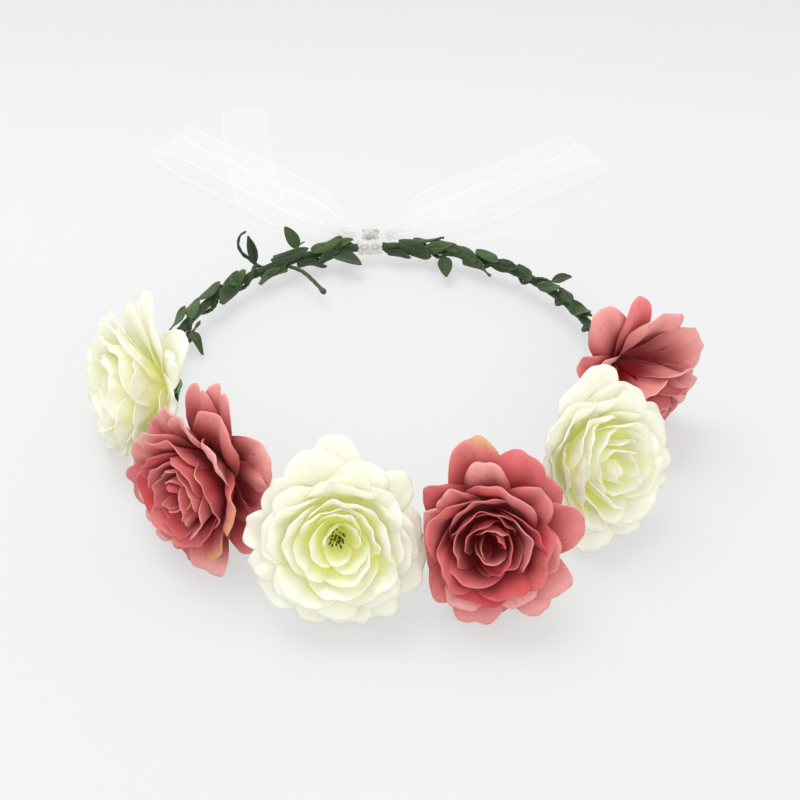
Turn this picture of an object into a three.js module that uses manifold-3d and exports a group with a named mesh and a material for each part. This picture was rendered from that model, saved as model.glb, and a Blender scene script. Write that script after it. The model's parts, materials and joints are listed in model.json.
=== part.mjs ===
// Flower crown: a wired hoop bound in green tape, open at the back, with a leaf garland wound round
// its bare arms, six silk flowers bound along its front, and an organza ribbon that ties its two ends.
// Millimetres, +Z up. The origin is the hoop's centre, on the table that the crown lies on.
// An azimuth is an angle about +Z, from the front (-Y) towards the right (+X), in degrees.
import * as THREE from 'three';
import { mergeVertices } from 'three/addons/utils/BufferGeometryUtils.js';
import Module from 'manifold-3d';

const wasm = await Module();
wasm.setup();

// Driving dimensions
const hoopRadius = 92; // to the middle of the wire
const hoopRiseBack = 7.5; // the wire above the table at the back
const hoopRiseFront = 15; // and at the front, where the flowers hold it up
const gapAzimuth = -175; // the middle of the opening that the ribbon closes
const gapLength = 11; // between the cut ends of the tape
const clearance = 0.3; // between two pieces that touch

const wireRadius = 0.6;
const eyeRadius = 1.5; // of the small eye bent at each end of the wire
const tapeWall = 0.9;
const strandRadius = 0.85; // the garland's stem
const strandPitch = 21; // along the hoop, for one turn round the tape
const strandFrontLeft = -89; // azimuths where the garland ends behind the outermost flowers
const strandFrontRight = 92;

const petalReach = 33; // the outer petals' tips, from the flower's axis
const middleReach = 23.5;
const innerReach = 15;
const petalWall = 2.2; // a ring of petals is one shell in this model
const calyxLength = 5.9;
const calyxRadius = 7.5;
const stemRadius = 1.2;
const tieLength = 8; // the tape that binds a stem to the band, along the band
const tieWall = 0.8;
const flowerTilt = 12; // how far a wired flower bends up or down, in degrees
const neighbourGap = 1.2; // between two flowers at any tilt

const leafLength = 17;
const leafWidth = 9;
const leafWall = 0.7;

const ribbonWidth = 25;
const ribbonWall = 0.8;
const knotLength = 8;
const knotRadius = 4.6;
const loopLength = 121;

// Each flower: azimuth on the hoop, its seat outwards and upwards of the wire, the way it faces, and
// the side where its outer petals reach further (0 right, 90 up, seen from its front) by what share.
const flowers = [
  { name: 'cream_left', azimuth: -78, out: -9.5, up: 12, facing: -68, rise: 12, fan: 60, extra: 0.1 },
  { name: 'coral_left', azimuth: -41, out: -7, up: 11, facing: -44, rise: 12, fan: 50, extra: 0.25 },
  { name: 'cream_front', azimuth: -11, out: -1, up: 5.5, facing: 2, rise: 30, fan: 80, extra: 0.06 },
  { name: 'coral_front', azimuth: 23, out: 3, up: 5.5, facing: -2, rise: 28, fan: 100, extra: 0.1 },
  { name: 'cream_right', azimuth: 52, out: -6, up: 8, facing: 34, rise: 28, fan: 160, extra: 0.15 },
  { name: 'coral_right', azimuth: 83, out: -6, up: 20, facing: 38, rise: -4, fan: 130, extra: 0.25 },
];

// Each leaf: azimuth near its root, the way its root points round the band (0 outwards, 90 up,
// 180 inwards), how far it leans along the band, and its size as a share of the full leaf.
// The root itself moves to where the garland's stem comes round to that side.
const leaves = [
  { name: 'leaf_left_front', azimuth: -112, around: 150, lean: 35, size: 0.6 },
  { name: 'leaf_left_low', azimuth: -131, around: 170, lean: 55, size: 0.9 },
  { name: 'leaf_left_spike', azimuth: -136, around: 55, lean: -25, size: 1 },
  { name: 'leaf_left_inner', azimuth: -141, around: 185, lean: -20, size: 0.9 },
  { name: 'leaf_left_top', azimuth: -156, around: 40, lean: -10, size: 0.9 },
  { name: 'leaf_left_end', azimuth: -164, around: 178, lean: -45, size: 1 },
  { name: 'leaf_right_end', azimuth: 178, around: 170, lean: -50, size: 0.9 },
  { name: 'leaf_right_top', azimuth: 172, around: 60, lean: -45, size: 0.9 },
  { name: 'leaf_right_low', azimuth: 164, around: 190, lean: -10, size: 0.85 },
  { name: 'leaf_right_inner', azimuth: 155, around: 180, lean: -50, size: 1 },
  { name: 'leaf_right_outer', azimuth: 136, around: 20, lean: -20, size: 0.7 },
];

// Sizes that follow from the ones above
const sheathInner = wireRadius + clearance;
const sheathRadius = sheathInner + tapeWall;
const strandOffset = sheathRadius + clearance + strandRadius;
const garlandRadius = strandOffset + strandRadius;
const tieInner = sheathRadius + 2 * clearance;
const tieRadius = tieInner + tieWall;
const sleeveInner = eyeRadius + wireRadius + 2 * clearance;
const sleeveRadius = sleeveInner + tieWall;
const sleeveLength = gapLength - 2 * clearance;
const hoopStep = 9.5; // the longest straight facet along the band
const strandStepsPerTurn = 10;
const hoopSteps = Math.ceil((2 * Math.PI * hoopRadius - gapLength) / hoopStep);
const hoopTilt = Math.asin((hoopRiseFront - hoopRiseBack) / (2 * hoopRadius));
const hoopMiddle = (hoopRiseFront + hoopRiseBack) / 2;
const halfGap = THREE.MathUtils.radToDeg(gapLength / 2 / hoopRadius);
const leftEnd = gapAzimuth + halfGap;
const rightEnd = gapAzimuth + 360 - halfGap;
// How far the wire runs past the tape at each end, up to its eye in the middle of the gap.
const eyeSpan = 2 * eyeRadius + wireRadius + clearance;
const wireReach = halfGap - THREE.MathUtils.radToDeg(eyeSpan / hoopRadius);

const colours = {
  cream: { petal: 0xf3f0dc, heart: 0xc9c76a, petalRough: 0.75 },
  coral: { petal: 0xc65c60, heart: 0xb24a50, petalRough: 0.7 },
};

const radians = THREE.MathUtils.degToRad;

function material(colour, roughness, metalness = 0) {
  return new THREE.MeshStandardMaterial({ color: colour, roughness, metalness });
}

function named(name, geometry, look) {
  const mesh = new THREE.Mesh(geometry, look);
  mesh.name = name;
  return mesh;
}

// A closed mesh as a solid for joining and cutting, and back.
function solidOf(geometry) {
  const bare = geometry.clone();
  bare.deleteAttribute('normal');
  bare.deleteAttribute('uv');
  const merged = mergeVertices(bare, 1e-4);
  const position = merged.attributes.position.array;
  const index = merged.index.array;
  return new wasm.Manifold(new wasm.Mesh({
    numProp: 3,
    vertProperties: new Float32Array(position),
    triVerts: new Uint32Array(index),
  }));
}

function geometryOf(solid) {
  const mesh = solid.getMesh();
  const geometry = new THREE.BufferGeometry();
  geometry.setAttribute('position', new THREE.BufferAttribute(new Float32Array(mesh.vertProperties), 3));
  geometry.setIndex(new THREE.BufferAttribute(new Uint32Array(mesh.triVerts), 1));
  geometry.computeVertexNormals();
  return geometry;
}

// Places on the hoop, in the hoop's own flat frame and in the crown's frame.
function flatPoint(azimuth, out = 0, up = 0) {
  const angle = radians(azimuth);
  const reach = hoopRadius + out;
  return new THREE.Vector3(reach * Math.sin(angle), -reach * Math.cos(angle), up);
}

function alongHoop(azimuth) {
  return new THREE.Vector3(Math.cos(radians(azimuth)), Math.sin(radians(azimuth)), 0);
}

const hoopMatrix = new THREE.Matrix4().makeRotationX(-hoopTilt).setPosition(0, 0, hoopMiddle);

class HoopCurve extends THREE.Curve {
  constructor(from, to, offset = 0, pitch = 1) {
    super();
    Object.assign(this, { from, to, offset, pitch });
  }

  getPoint(t) {
    const azimuth = THREE.MathUtils.lerp(this.from, this.to, t);
    const turn = (2 * Math.PI * radians(azimuth) * hoopRadius) / this.pitch;
    return flatPoint(azimuth, this.offset * Math.cos(turn), this.offset * Math.sin(turn));
  }
}

function roundSection(radius, sides, holeRadius = 0) {
  const corner = (reach, i) => {
    const angle = (2 * Math.PI * i) / sides;
    return new THREE.Vector2(reach * Math.cos(angle), reach * Math.sin(angle));
  };
  const numbers = Array.from({ length: sides }, (_, i) => i);
  const shape = new THREE.Shape(numbers.map((i) => corner(radius, i)));
  if (holeRadius > 0) {
    shape.holes.push(new THREE.Path(numbers.map((i) => corner(holeRadius, i))));
  }
  return shape;
}

function sweep(section, curve, steps) {
  return new THREE.ExtrudeGeometry(section, { extrudePath: curve, steps, bevelEnabled: false });
}

// The wire core with an eye at each end, the tape over it and the garland's stem on each bare arm.
function makeHoop() {
  const hoop = new THREE.Group();
  const from = leftEnd - wireReach;
  const to = rightEnd + wireReach;
  let wire = solidOf(sweep(roundSection(wireRadius, 5), new HoopCurve(from, to), hoopSteps));
  for (const [end, side] of [[from, -1], [to, 1]]) {
    const eye = new THREE.TorusGeometry(eyeRadius, wireRadius, 5, 10);
    const centre = flatPoint(end).addScaledVector(alongHoop(end), side * eyeRadius);
    eye.applyMatrix4(new THREE.Matrix4().makeRotationX(Math.PI / 2));
    eye.applyMatrix4(new THREE.Matrix4().makeRotationZ(radians(end)).setPosition(centre));
    wire = wire.add(solidOf(eye));
  }
  hoop.add(named('wire_core', geometryOf(wire), material(0x8f9296, 0.35, 1)));

  const tape = sweep(roundSection(sheathRadius, 8, sheathInner), new HoopCurve(leftEnd, rightEnd), hoopSteps);
  hoop.add(named('stem_tape', tape, material(0x3f5f35, 0.8)));

  const backLeft = leftEnd + 0.8;
  const backRight = rightEnd - 0.8;
  const stem = roundSection(strandRadius, 5);
  for (const [name, start, end] of [
    ['garland_stem_left', backLeft, strandFrontLeft],
    ['garland_stem_right', strandFrontRight, backRight],
  ]) {
    const turns = (Math.abs(radians(end - start)) * hoopRadius) / strandPitch;
    const strand = new HoopCurve(start, end, strandOffset, strandPitch);
    const twist = sweep(stem, strand, Math.ceil(turns * strandStepsPerTurn));
    hoop.add(named(name, twist, material(0x44663a, 0.75)));
  }
  return hoop;
}

// A leaf is a thin pointed oval, folded a little along its midrib and drooping to its tip.
function leafGeometry(size) {
  const length = leafLength * size;
  const half = (leafWidth * size) / 2;
  const shape = new THREE.Shape();
  shape.moveTo(0, -0.5);
  shape.quadraticCurveTo(length * 0.4, -half * 1.7, length, 0);
  shape.quadraticCurveTo(length * 0.4, half * 1.7, 0, 0.5);
  shape.closePath();
  const options = { depth: leafWall, steps: 1, curveSegments: 5, bevelEnabled: false };
  const leaf = new THREE.ExtrudeGeometry(shape, options);
  const position = leaf.attributes.position;
  for (let i = 0; i < position.count; i += 1) {
    const x = position.getX(i);
    const fold = Math.abs(position.getY(i)) * 0.25;
    position.setZ(i, position.getZ(i) + fold - (0.12 * x * x) / length);
  }
  leaf.computeVertexNormals();
  return leaf;
}

// The frame of something that grows from the garland: x away from it, y across, z its upper side.
function growthMatrix(near, around, lean) {
  const turnsAtZero = (radians(1) * hoopRadius) / strandPitch;
  const azimuth = (Math.round(near * turnsAtZero - around / 360) + around / 360) / turnsAtZero;
  const outward = flatPoint(azimuth).normalize();
  const upward = new THREE.Vector3(0, 0, 1);
  const away = outward.clone().multiplyScalar(Math.cos(radians(around)));
  away.addScaledVector(upward, Math.sin(radians(around)));
  const root = flatPoint(azimuth).addScaledVector(away, garlandRadius + 2 * clearance);
  const way = away.clone().multiplyScalar(Math.cos(radians(lean)));
  way.addScaledVector(alongHoop(azimuth), Math.sin(radians(lean)));
  const top = upward.clone().addScaledVector(way, -upward.dot(way)).normalize();
  const across = new THREE.Vector3().crossVectors(top, way);
  return new THREE.Matrix4().makeBasis(way, across, top).setPosition(root);
}

function makeLeaves() {
  const group = new THREE.Group();
  leaves.forEach((leaf, i) => {
    const mesh = named(leaf.name, leafGeometry(leaf.size), material(i % 3 ? 0x2f4a28 : 0x4c6b3c, 0.6));
    mesh.applyMatrix4(growthMatrix(leaf.azimuth, leaf.around, leaf.lean));
    group.add(mesh);
  });

  const curl = new THREE.CatmullRomCurve3([
    new THREE.Vector3(0, 0, 0), new THREE.Vector3(5, 1, 1), new THREE.Vector3(11, 4, 2),
    new THREE.Vector3(17, 5, 4), new THREE.Vector3(20, 1, 5), new THREE.Vector3(18, -3, 5),
  ]);
  const tendril = named('tendril', sweep(roundSection(0.7, 6), curl, 14), material(0x2f4a28, 0.6));
  tendril.applyMatrix4(growthMatrix(-145, 35, 5));
  group.add(tendril);

  const cutTwig = new THREE.CatmullRomCurve3([
    new THREE.Vector3(0, 0, 0), new THREE.Vector3(8, 1, 0), new THREE.Vector3(16, 0, -1.2),
    new THREE.Vector3(24, -2, -2),
  ]);
  const twig = named('cut_twig', sweep(roundSection(1, 6), cutTwig, 8), material(0x3c5a30, 0.7));
  twig.applyMatrix4(growthMatrix(-146, 178, -18));
  group.add(twig);
  return group;
}

// One ring of petals: a bowl turned on the flower's axis, with its rim drawn in between the petals.
function petalRing(profile, reach, petals, phase, drawIn, fan, extra) {
  const points = profile.map(([radius, height]) => new THREE.Vector2(radius * reach, height));
  const bowl = new THREE.LatheGeometry(points, petals * 4);
  bowl.rotateX(Math.PI / 2);
  const position = bowl.attributes.position;
  for (let i = 0; i < position.count; i += 1) {
    const x = position.getX(i);
    const y = position.getY(i);
    const share = THREE.MathUtils.smoothstep(Math.hypot(x, y) / reach, 0.35, 1);
    const notch = 1 - Math.abs(Math.cos((petals * (Math.atan2(y, x) - phase)) / 2));
    const further = extra * Math.max(0, Math.cos(Math.atan2(y, x) - radians(fan)));
    const keep = (1 - drawIn * notch * notch * share) * (1 + further * share);
    position.setXY(i, x * keep, y * keep);
    position.setZ(i, position.getZ(i) - 3 * notch * notch * share);
  }
  return bowl;
}

// Profiles from the axis out along the underside and back along the upper side. Radii are shares
// of the ring's reach, heights are above the flower's base, each ring standing in the one outside it.
const outerProfile = [
  [0, 0], [0.2, 1], [0.6, 6.4], [0.9, 13.6], [1, 20],
  [0.94, 20.8], [0.83, 15.4], [0.52, 8.8], [0.16, 3.5], [0, 0.6 + petalWall],
];
const middleProfile = [
  [0, 3.2], [0.22, 4.3], [0.6, 9], [0.92, 17.6], [1, 26],
  [0.91, 26.6], [0.82, 18.8], [0.52, 11.2], [0.17, 6.9], [0, 4 + petalWall],
];
const innerProfile = [
  [0, 6.6], [0.26, 7.6], [0.7, 12.4], [0.97, 21], [1, 29],
  [0.86, 29.6], [0.82, 21.4], [0.57, 14.6], [0.19, 10.2], [0, 7.4 + petalWall],
];
const budProfile = [[0, 9.9], [2.6, 10.6], [6, 13.6], [8.6, 18], [9.6, 23.5], [8, 28], [4.5, 31], [0, 32]];
const stamenProfile = [[0, 9.9], [2.6, 10.6], [5, 12.8], [5.6, 16], [4.4, 19.5], [0, 20.5]];

// What a flower must not reach at any tilt: the table at rest, the band, and its neighbours.
function keepOut(flower, before, after) {
  const cutters = [];
  const size = 6 * petalReach;
  const turnedAbout = (geometry, tilt) => {
    const anchor = flatPoint(flower.azimuth);
    const turn = new THREE.Matrix4().makeRotationAxis(alongHoop(flower.azimuth), radians(tilt));
    geometry.translate(-anchor.x, -anchor.y, -anchor.z).applyMatrix4(turn);
    geometry.translate(anchor.x, anchor.y, anchor.z).applyMatrix4(hoopMatrix);
    return geometry;
  };
  const keep = garlandRadius + clearance;
  for (const tilt of [-flowerTilt, 0, flowerTilt]) {
    const drum = new THREE.CylinderGeometry(hoopRadius + keep, hoopRadius + keep, size, 64);
    drum.rotateX(Math.PI / 2).translate(0, 0, keep - size / 2);
    cutters.push(turnedAbout(drum, tilt));
    for (const [other, side] of [[before, -1], [after, 1]]) {
      if (other) {
        const wall = new THREE.BoxGeometry(2 * size, size, 2 * size);
        wall.translate(0, size / 2 - neighbourGap / 2, 0);
        if (side < 0) {
          wall.rotateX(Math.PI);
        }
        wall.rotateZ(radians((flower.azimuth + other.azimuth) / 2 - 90));
        cutters.push(turnedAbout(wall, tilt));
      }
    }
  }
  const table = new THREE.BoxGeometry(4 * size, 4 * size, size).translate(0, 0, -size / 2);
  cutters.push(table);
  return cutters;
}

function trimmed(geometry, placement, cutters) {
  const back = placement.clone().invert();
  let solid = solidOf(geometry);
  for (const cutter of cutters) {
    solid = solid.subtract(solidOf(cutter.clone().applyMatrix4(back)));
  }
  return geometryOf(solid);
}

function makeFlower(flower, before, after) {
  const group = new THREE.Group();
  const coral = flower.name.startsWith('coral');
  const look = coral ? colours.coral : colours.cream;
  const green = () => material(0x6f8f4a, 0.75);

  // The tape tie is a short tube round the band.
  const anchor = flatPoint(flower.azimuth).applyMatrix4(hoopMatrix);
  const along = alongHoop(flower.azimuth).transformDirection(hoopMatrix);
  const tube = [[tieInner, -tieLength / 2], [tieRadius, -tieLength / 2], [tieRadius, tieLength / 2],
    [tieInner, tieLength / 2], [tieInner, -tieLength / 2]];
  const tie = named(`${flower.name}_tie`,
    new THREE.LatheGeometry(tube.map(([r, y]) => new THREE.Vector2(r, y)), 12), green());
  tie.quaternion.setFromUnitVectors(new THREE.Vector3(0, 1, 0), along);
  tie.position.copy(anchor);
  group.add(tie);

  // The head's frame: origin at the seat, z along the way the flower faces.
  const seat = flatPoint(flower.azimuth, flower.out, flower.up).applyMatrix4(hoopMatrix);
  const level = Math.cos(radians(flower.rise));
  const facing = new THREE.Vector3(
    Math.sin(radians(flower.facing)) * level,
    -Math.cos(radians(flower.facing)) * level,
    Math.sin(radians(flower.rise)),
  );
  const across = new THREE.Vector3(0, 0, 1).cross(facing).normalize();
  const top = new THREE.Vector3().crossVectors(facing, across);
  const placement = new THREE.Matrix4().makeBasis(across, top, facing).setPosition(seat);

  const head = new THREE.Group();
  head.applyMatrix4(placement);
  group.add(head);

  const cup = [[0, 0], [1.8, 0], [calyxRadius * 0.42, calyxLength * 0.35],
    [calyxRadius * 0.75, calyxLength * 0.75], [calyxRadius, calyxLength + 0.2],
    [calyxRadius * 0.85, calyxLength - 0.1], [0, calyxLength - 1]];
  const calyxCup = new THREE.LatheGeometry(cup.map(([r, y]) => new THREE.Vector2(r, y)), 12);
  calyxCup.rotateX(Math.PI / 2);
  const reach = Math.hypot(flower.out, flower.up) - tieRadius - clearance;
  const stem = new THREE.CylinderGeometry(stemRadius, stemRadius, reach + 1, 8);
  stem.translate(0, -(reach - 1) / 2, 0);
  const outOfBand = seat.clone().sub(anchor).normalize().transformDirection(placement.clone().invert());
  const lay = new THREE.Quaternion().setFromUnitVectors(new THREE.Vector3(0, 1, 0), outOfBand);
  stem.applyQuaternion(lay);
  const calyx = solidOf(calyxCup).add(solidOf(stem));
  head.add(named(`${flower.name}_calyx`, geometryOf(calyx), green()));

  const cutters = keepOut(flower, before, after);
  const base = calyxLength - 1 + clearance;
  const rings = [
    ['outer_petals', outerProfile, petalReach, 6, 0.4, 0.16, flower.extra],
    ['middle_petals', middleProfile, middleReach, 5, 1, 0.1, 0],
    ['inner_petals', innerProfile, innerReach, 4, 0.2, 0.08, 0],
  ];
  for (const [kind, profile, ringReach, petals, phase, drawIn, extra] of rings) {
    const ring = petalRing(profile, ringReach, petals, phase, drawIn, flower.fan, extra);
    ring.translate(0, 0, base);
    const shape = trimmed(ring, placement, cutters);
    head.add(named(`${flower.name}_${kind}`, shape, material(look.petal, look.petalRough)));
  }

  const heartProfile = (coral ? budProfile : stamenProfile).map(([r, y]) => new THREE.Vector2(r, y));
  const heart = new THREE.LatheGeometry(heartProfile, 10).rotateX(Math.PI / 2).translate(0, 0, base);
  head.add(named(`${flower.name}_${coral ? 'bud' : 'stamens'}`, trimmed(heart, placement, cutters),
    material(look.heart, look.petalRough)));
  return group;
}

// A strip of ribbon along a curve. Its width lies level, across the given way or across the curve.
function ribbonStrip(points, steps, widthAt, level) {
  const curve = new THREE.CatmullRomCurve3(points.map(([x, y, z]) => new THREE.Vector3(x, y, z)));
  const strip = new THREE.BoxGeometry(1, 1, 1, steps, 1, 1);
  const position = strip.attributes.position;
  const place = new THREE.Vector3();
  for (let i = 0; i < position.count; i += 1) {
    const t = THREE.MathUtils.clamp(position.getX(i) + 0.5, 0, 1);
    const way = curve.getTangentAt(t);
    const side = level ? level.clone() : new THREE.Vector3(-way.y, way.x, 0).normalize();
    const face = new THREE.Vector3().crossVectors(way, side).normalize();
    place.copy(curve.getPointAt(t));
    place.addScaledVector(side, position.getY(i) * widthAt(t));
    place.addScaledVector(face, position.getZ(i) * ribbonWall);
    position.setXYZ(i, place.x, place.y, place.z);
  }
  strip.computeVertexNormals();
  return strip;
}

function makeRibbon() {
  const group = new THREE.Group();
  const look = () => material(0xf4f3ee, 0.5);
  const gap = flatPoint(gapAzimuth).applyMatrix4(hoopMatrix);
  const along = alongHoop(gapAzimuth).transformDirection(hoopMatrix);

  const tube = [[sleeveInner, -sleeveLength / 2], [sleeveRadius, -sleeveLength / 2],
    [sleeveRadius, sleeveLength / 2], [sleeveInner, sleeveLength / 2], [sleeveInner, -sleeveLength / 2]];
  const wrap = named('ribbon_wrap',
    new THREE.LatheGeometry(tube.map(([r, y]) => new THREE.Vector2(r, y)), 12), look());
  wrap.quaternion.setFromUnitVectors(new THREE.Vector3(0, 1, 0), along);
  wrap.position.copy(gap);
  group.add(wrap);

  // The knot sits behind the wrap, on the line that the bow swings about.
  const knotY = gap.y + sleeveRadius + clearance + knotRadius;
  const knotZ = gap.z + 0.5;
  const barrel = [[0, -knotLength / 2], [knotRadius * 0.8, -knotLength / 2], [knotRadius, 0],
    [knotRadius * 0.8, knotLength / 2], [0, knotLength / 2]];
  const knot = named('bow_knot',
    new THREE.LatheGeometry(barrel.map(([r, y]) => new THREE.Vector2(r, y)), 12), look());
  knot.rotation.z = Math.PI / 2;
  knot.position.set(gap.x, knotY, knotZ);
  group.add(knot);

  // Each loop runs out low, turns at its tip and comes back above itself.
  const root = knotLength / 2 + 2;
  const spread = (t) => {
    const out = Math.min(t, 1 - t) * 2 * loopLength;
    return THREE.MathUtils.lerp(5, ribbonWidth, THREE.MathUtils.smoothstep(out, 0, 34));
  };
  const loops = [['bow_loop_left', -1, 141.5], ['bow_loop_right', 1, 33.5]];
  for (const [name, side, heading] of loops) {
    const way = new THREE.Vector3(Math.cos(radians(heading)), Math.sin(radians(heading)), 0);
    const across = new THREE.Vector3(-way.y, way.x, 0);
    const profile = [[0, knotZ - 1.2], [14, knotZ - 2.4], [34, 3.6], [66, 2.8], [loopLength - 14, 3],
      [loopLength - 2, 6.5], [loopLength - 10, 11.5], [72, 13.5], [34, 13], [14, 11.4], [0, knotZ + 1.2]];
    const points = profile.map(([out, z]) => [
      gap.x + side * root + way.x * out, knotY + way.y * out, z,
    ]);
    group.add(named(name, ribbonStrip(points, 30, spread, across), look()));
  }

  // Each tail leaves under its loop and lies along the table.
  const tails = [
    ['bow_tail_left', -1, [[0, 0, 5], [-10, 7, 3.8], [-24, 14, 2.4], [-42, 26, 1], [-49, 48, 0.8],
      [-55, 80, 0.8], [-59, 112, 0.8]]],
    ['bow_tail_right', 1, [[0, 0, 5], [10, 6, 3.8], [24, 12, 2.4], [42, 17, 1], [60, 19, 0.8],
      [78, 16, 0.8]]],
  ];
  for (const [name, side, route] of tails) {
    const points = route.map(([x, y, z]) => [gap.x + side * root + x, knotY + y, z]);
    const widthAt = (t) => THREE.MathUtils.lerp(4, ribbonWidth - 3, THREE.MathUtils.smoothstep(t, 0, 0.4));
    group.add(named(name, ribbonStrip(points, 18, widthAt), look()));
  }
  return group;
}

const crown = new THREE.Group();
const hoop = makeHoop();
hoop.add(makeLeaves());
hoop.applyMatrix4(hoopMatrix);
crown.add(hoop);
flowers.forEach((flower, i) => crown.add(makeFlower(flower, flowers[i - 1], flowers[i + 1])));
crown.add(makeRibbon());

export default crown;
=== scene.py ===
import json
import random
from math import atan2, cos, hypot, pi, radians, sin, sqrt

import bpy
import numpy as np
from mathutils import Matrix, Vector


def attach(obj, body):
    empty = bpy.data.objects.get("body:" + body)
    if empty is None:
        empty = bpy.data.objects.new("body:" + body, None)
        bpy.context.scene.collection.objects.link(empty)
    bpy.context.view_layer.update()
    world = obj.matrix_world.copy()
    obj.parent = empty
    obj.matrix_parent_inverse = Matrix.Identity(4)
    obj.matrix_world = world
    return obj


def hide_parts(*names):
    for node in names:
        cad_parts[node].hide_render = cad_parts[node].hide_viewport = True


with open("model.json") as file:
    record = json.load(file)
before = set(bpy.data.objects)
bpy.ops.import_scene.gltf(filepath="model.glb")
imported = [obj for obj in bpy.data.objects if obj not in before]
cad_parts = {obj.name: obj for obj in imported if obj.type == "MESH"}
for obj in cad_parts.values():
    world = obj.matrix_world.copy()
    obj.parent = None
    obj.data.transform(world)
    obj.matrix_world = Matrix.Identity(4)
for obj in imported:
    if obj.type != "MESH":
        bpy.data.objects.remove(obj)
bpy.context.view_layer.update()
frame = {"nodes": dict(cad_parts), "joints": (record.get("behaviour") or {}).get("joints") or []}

# A flower crown on a pale table: silk flowers, a leaf garland and a sheer ribbon, built round the
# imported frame. Lengths in the settings are millimetres and angles are degrees.

mm = 0.001
goldenAngle = 2.39996
joints = {j["name"]: j for j in frame["joints"]}
rootBody = "root"


class Wire:  # a socket that works in Python expressions
    def __init__(self, tree, socket):
        self.tree, self.socket = tree, socket

    def plug(self, other, operation, swap=False):
        return node(self.tree, "Math", {"operation": operation}, (other, self) if swap else (self, other))

    def __add__(self, other):
        return self.plug(other, "ADD")

    def __radd__(self, other):
        return self.plug(other, "ADD", True)

    def __sub__(self, other):
        return self.plug(other, "SUBTRACT")

    def __rsub__(self, other):
        return self.plug(other, "SUBTRACT", True)

    def __mul__(self, other):
        return self.plug(other, "MULTIPLY")

    def __rmul__(self, other):
        return self.plug(other, "MULTIPLY", True)

    def __truediv__(self, other):
        return self.plug(other, "DIVIDE")

    def __rtruediv__(self, other):
        return self.plug(other, "DIVIDE", True)

    def sin(self):
        return node(self.tree, "Math", {"operation": "SINE"}, (self,))

    def abs(self):
        return node(self.tree, "Math", {"operation": "ABSOLUTE"}, (self,))

    def clamp(self):
        return node(self.tree, "Clamp", {}, (self,))

    def band(self, low, high):
        return node(self.tree, "MapRange", {"interpolation_type": "SMOOTHSTEP"}, (self, low, high, 0.0, 1.0))


def node(tree, kind, settings=None, values=(), out=0):
    # settings come first, then the values or links of its sockets
    made = tree.nodes.new("ShaderNode" + kind)
    for key, value in (settings or {}).items():
        setattr(made, key, value)
    items = values.items() if isinstance(values, dict) else enumerate(values)
    for key, value in items:
        socket = made.inputs[key]
        if isinstance(value, Wire):
            tree.links.new(value.socket, socket)
        elif isinstance(value, tuple) and socket.type == "RGBA":
            socket.default_value = (*value, 1)
        else:
            socket.default_value = value
    return Wire(tree, made.outputs[out]) if made.outputs else None


def mixColour(tree, share, first, second):
    return node(tree, "Mix", {"data_type": "RGBA"}, {0: share, 6: first, 7: second}, 2)


def srgb(red, green, blue):
    return tuple((c / 255) ** 2.2 for c in (red, green, blue))


def attribute(tree, name):
    return node(tree, "Attribute", {"attribute_name": name}, (), "Fac")


def flatPlace(tree):
    # the place on the flat cloth, in millimetres: across, along, and both together
    uv = node(tree, "UVMap", {"uv_map": "UVMap"})
    across = node(tree, "SeparateXYZ", {}, (uv,), "X")
    return across, node(tree, "SeparateXYZ", {}, (uv,), "Y"), uv


def noiseOver(tree, where, scale, detail=2.0, rough=0.5):
    return node(tree, "TexNoise", {}, {"Vector": where, "Scale": scale, "Detail": detail, "Roughness": rough})


def newMaterial(name):
    look = bpy.data.materials.new(name)
    look.use_nodes = True
    tree = look.node_tree
    tree.nodes.clear()
    return look, tree


def finishMaterial(tree, colour, rough, height=None, bump=0.3, distance=0.0002, translucent=0.0,
                   alpha=None, behind=None, **fixed):
    # a soft surface, and for thin cloth some light let through from behind
    values = {"Base Color": colour, "Roughness": rough, **fixed}
    if height is not None:
        values["Normal"] = node(tree, "Bump", {}, {"Strength": bump, "Distance": distance, "Height": height})
    if alpha is not None:
        values["Alpha"] = alpha
    surface = node(tree, "BsdfPrincipled", {}, values)
    if translucent:
        through = node(tree, "BsdfTranslucent", {}, {"Color": behind})
        surface = node(tree, "MixShader", {}, (translucent, surface, through))
    node(tree, "OutputMaterial", {}, {"Surface": surface})


def weaveHeight(across, along, pitch):
    # a plain weave: threads each way, pitch millimetres apart
    warp = (across * (2 * pi / pitch)).sin()
    weft = (along * (2 * pi / pitch)).sin()
    return warp * weft * 0.5 + 0.5


# sizes of the marks, per millimetre, and how far the streaks are drawn out along a petal
petalNoise = {"blotch": 0.16, "streak": 0.9, "fine": 3.2, "stretch": (1.0, 0.22, 1.0)}


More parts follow.
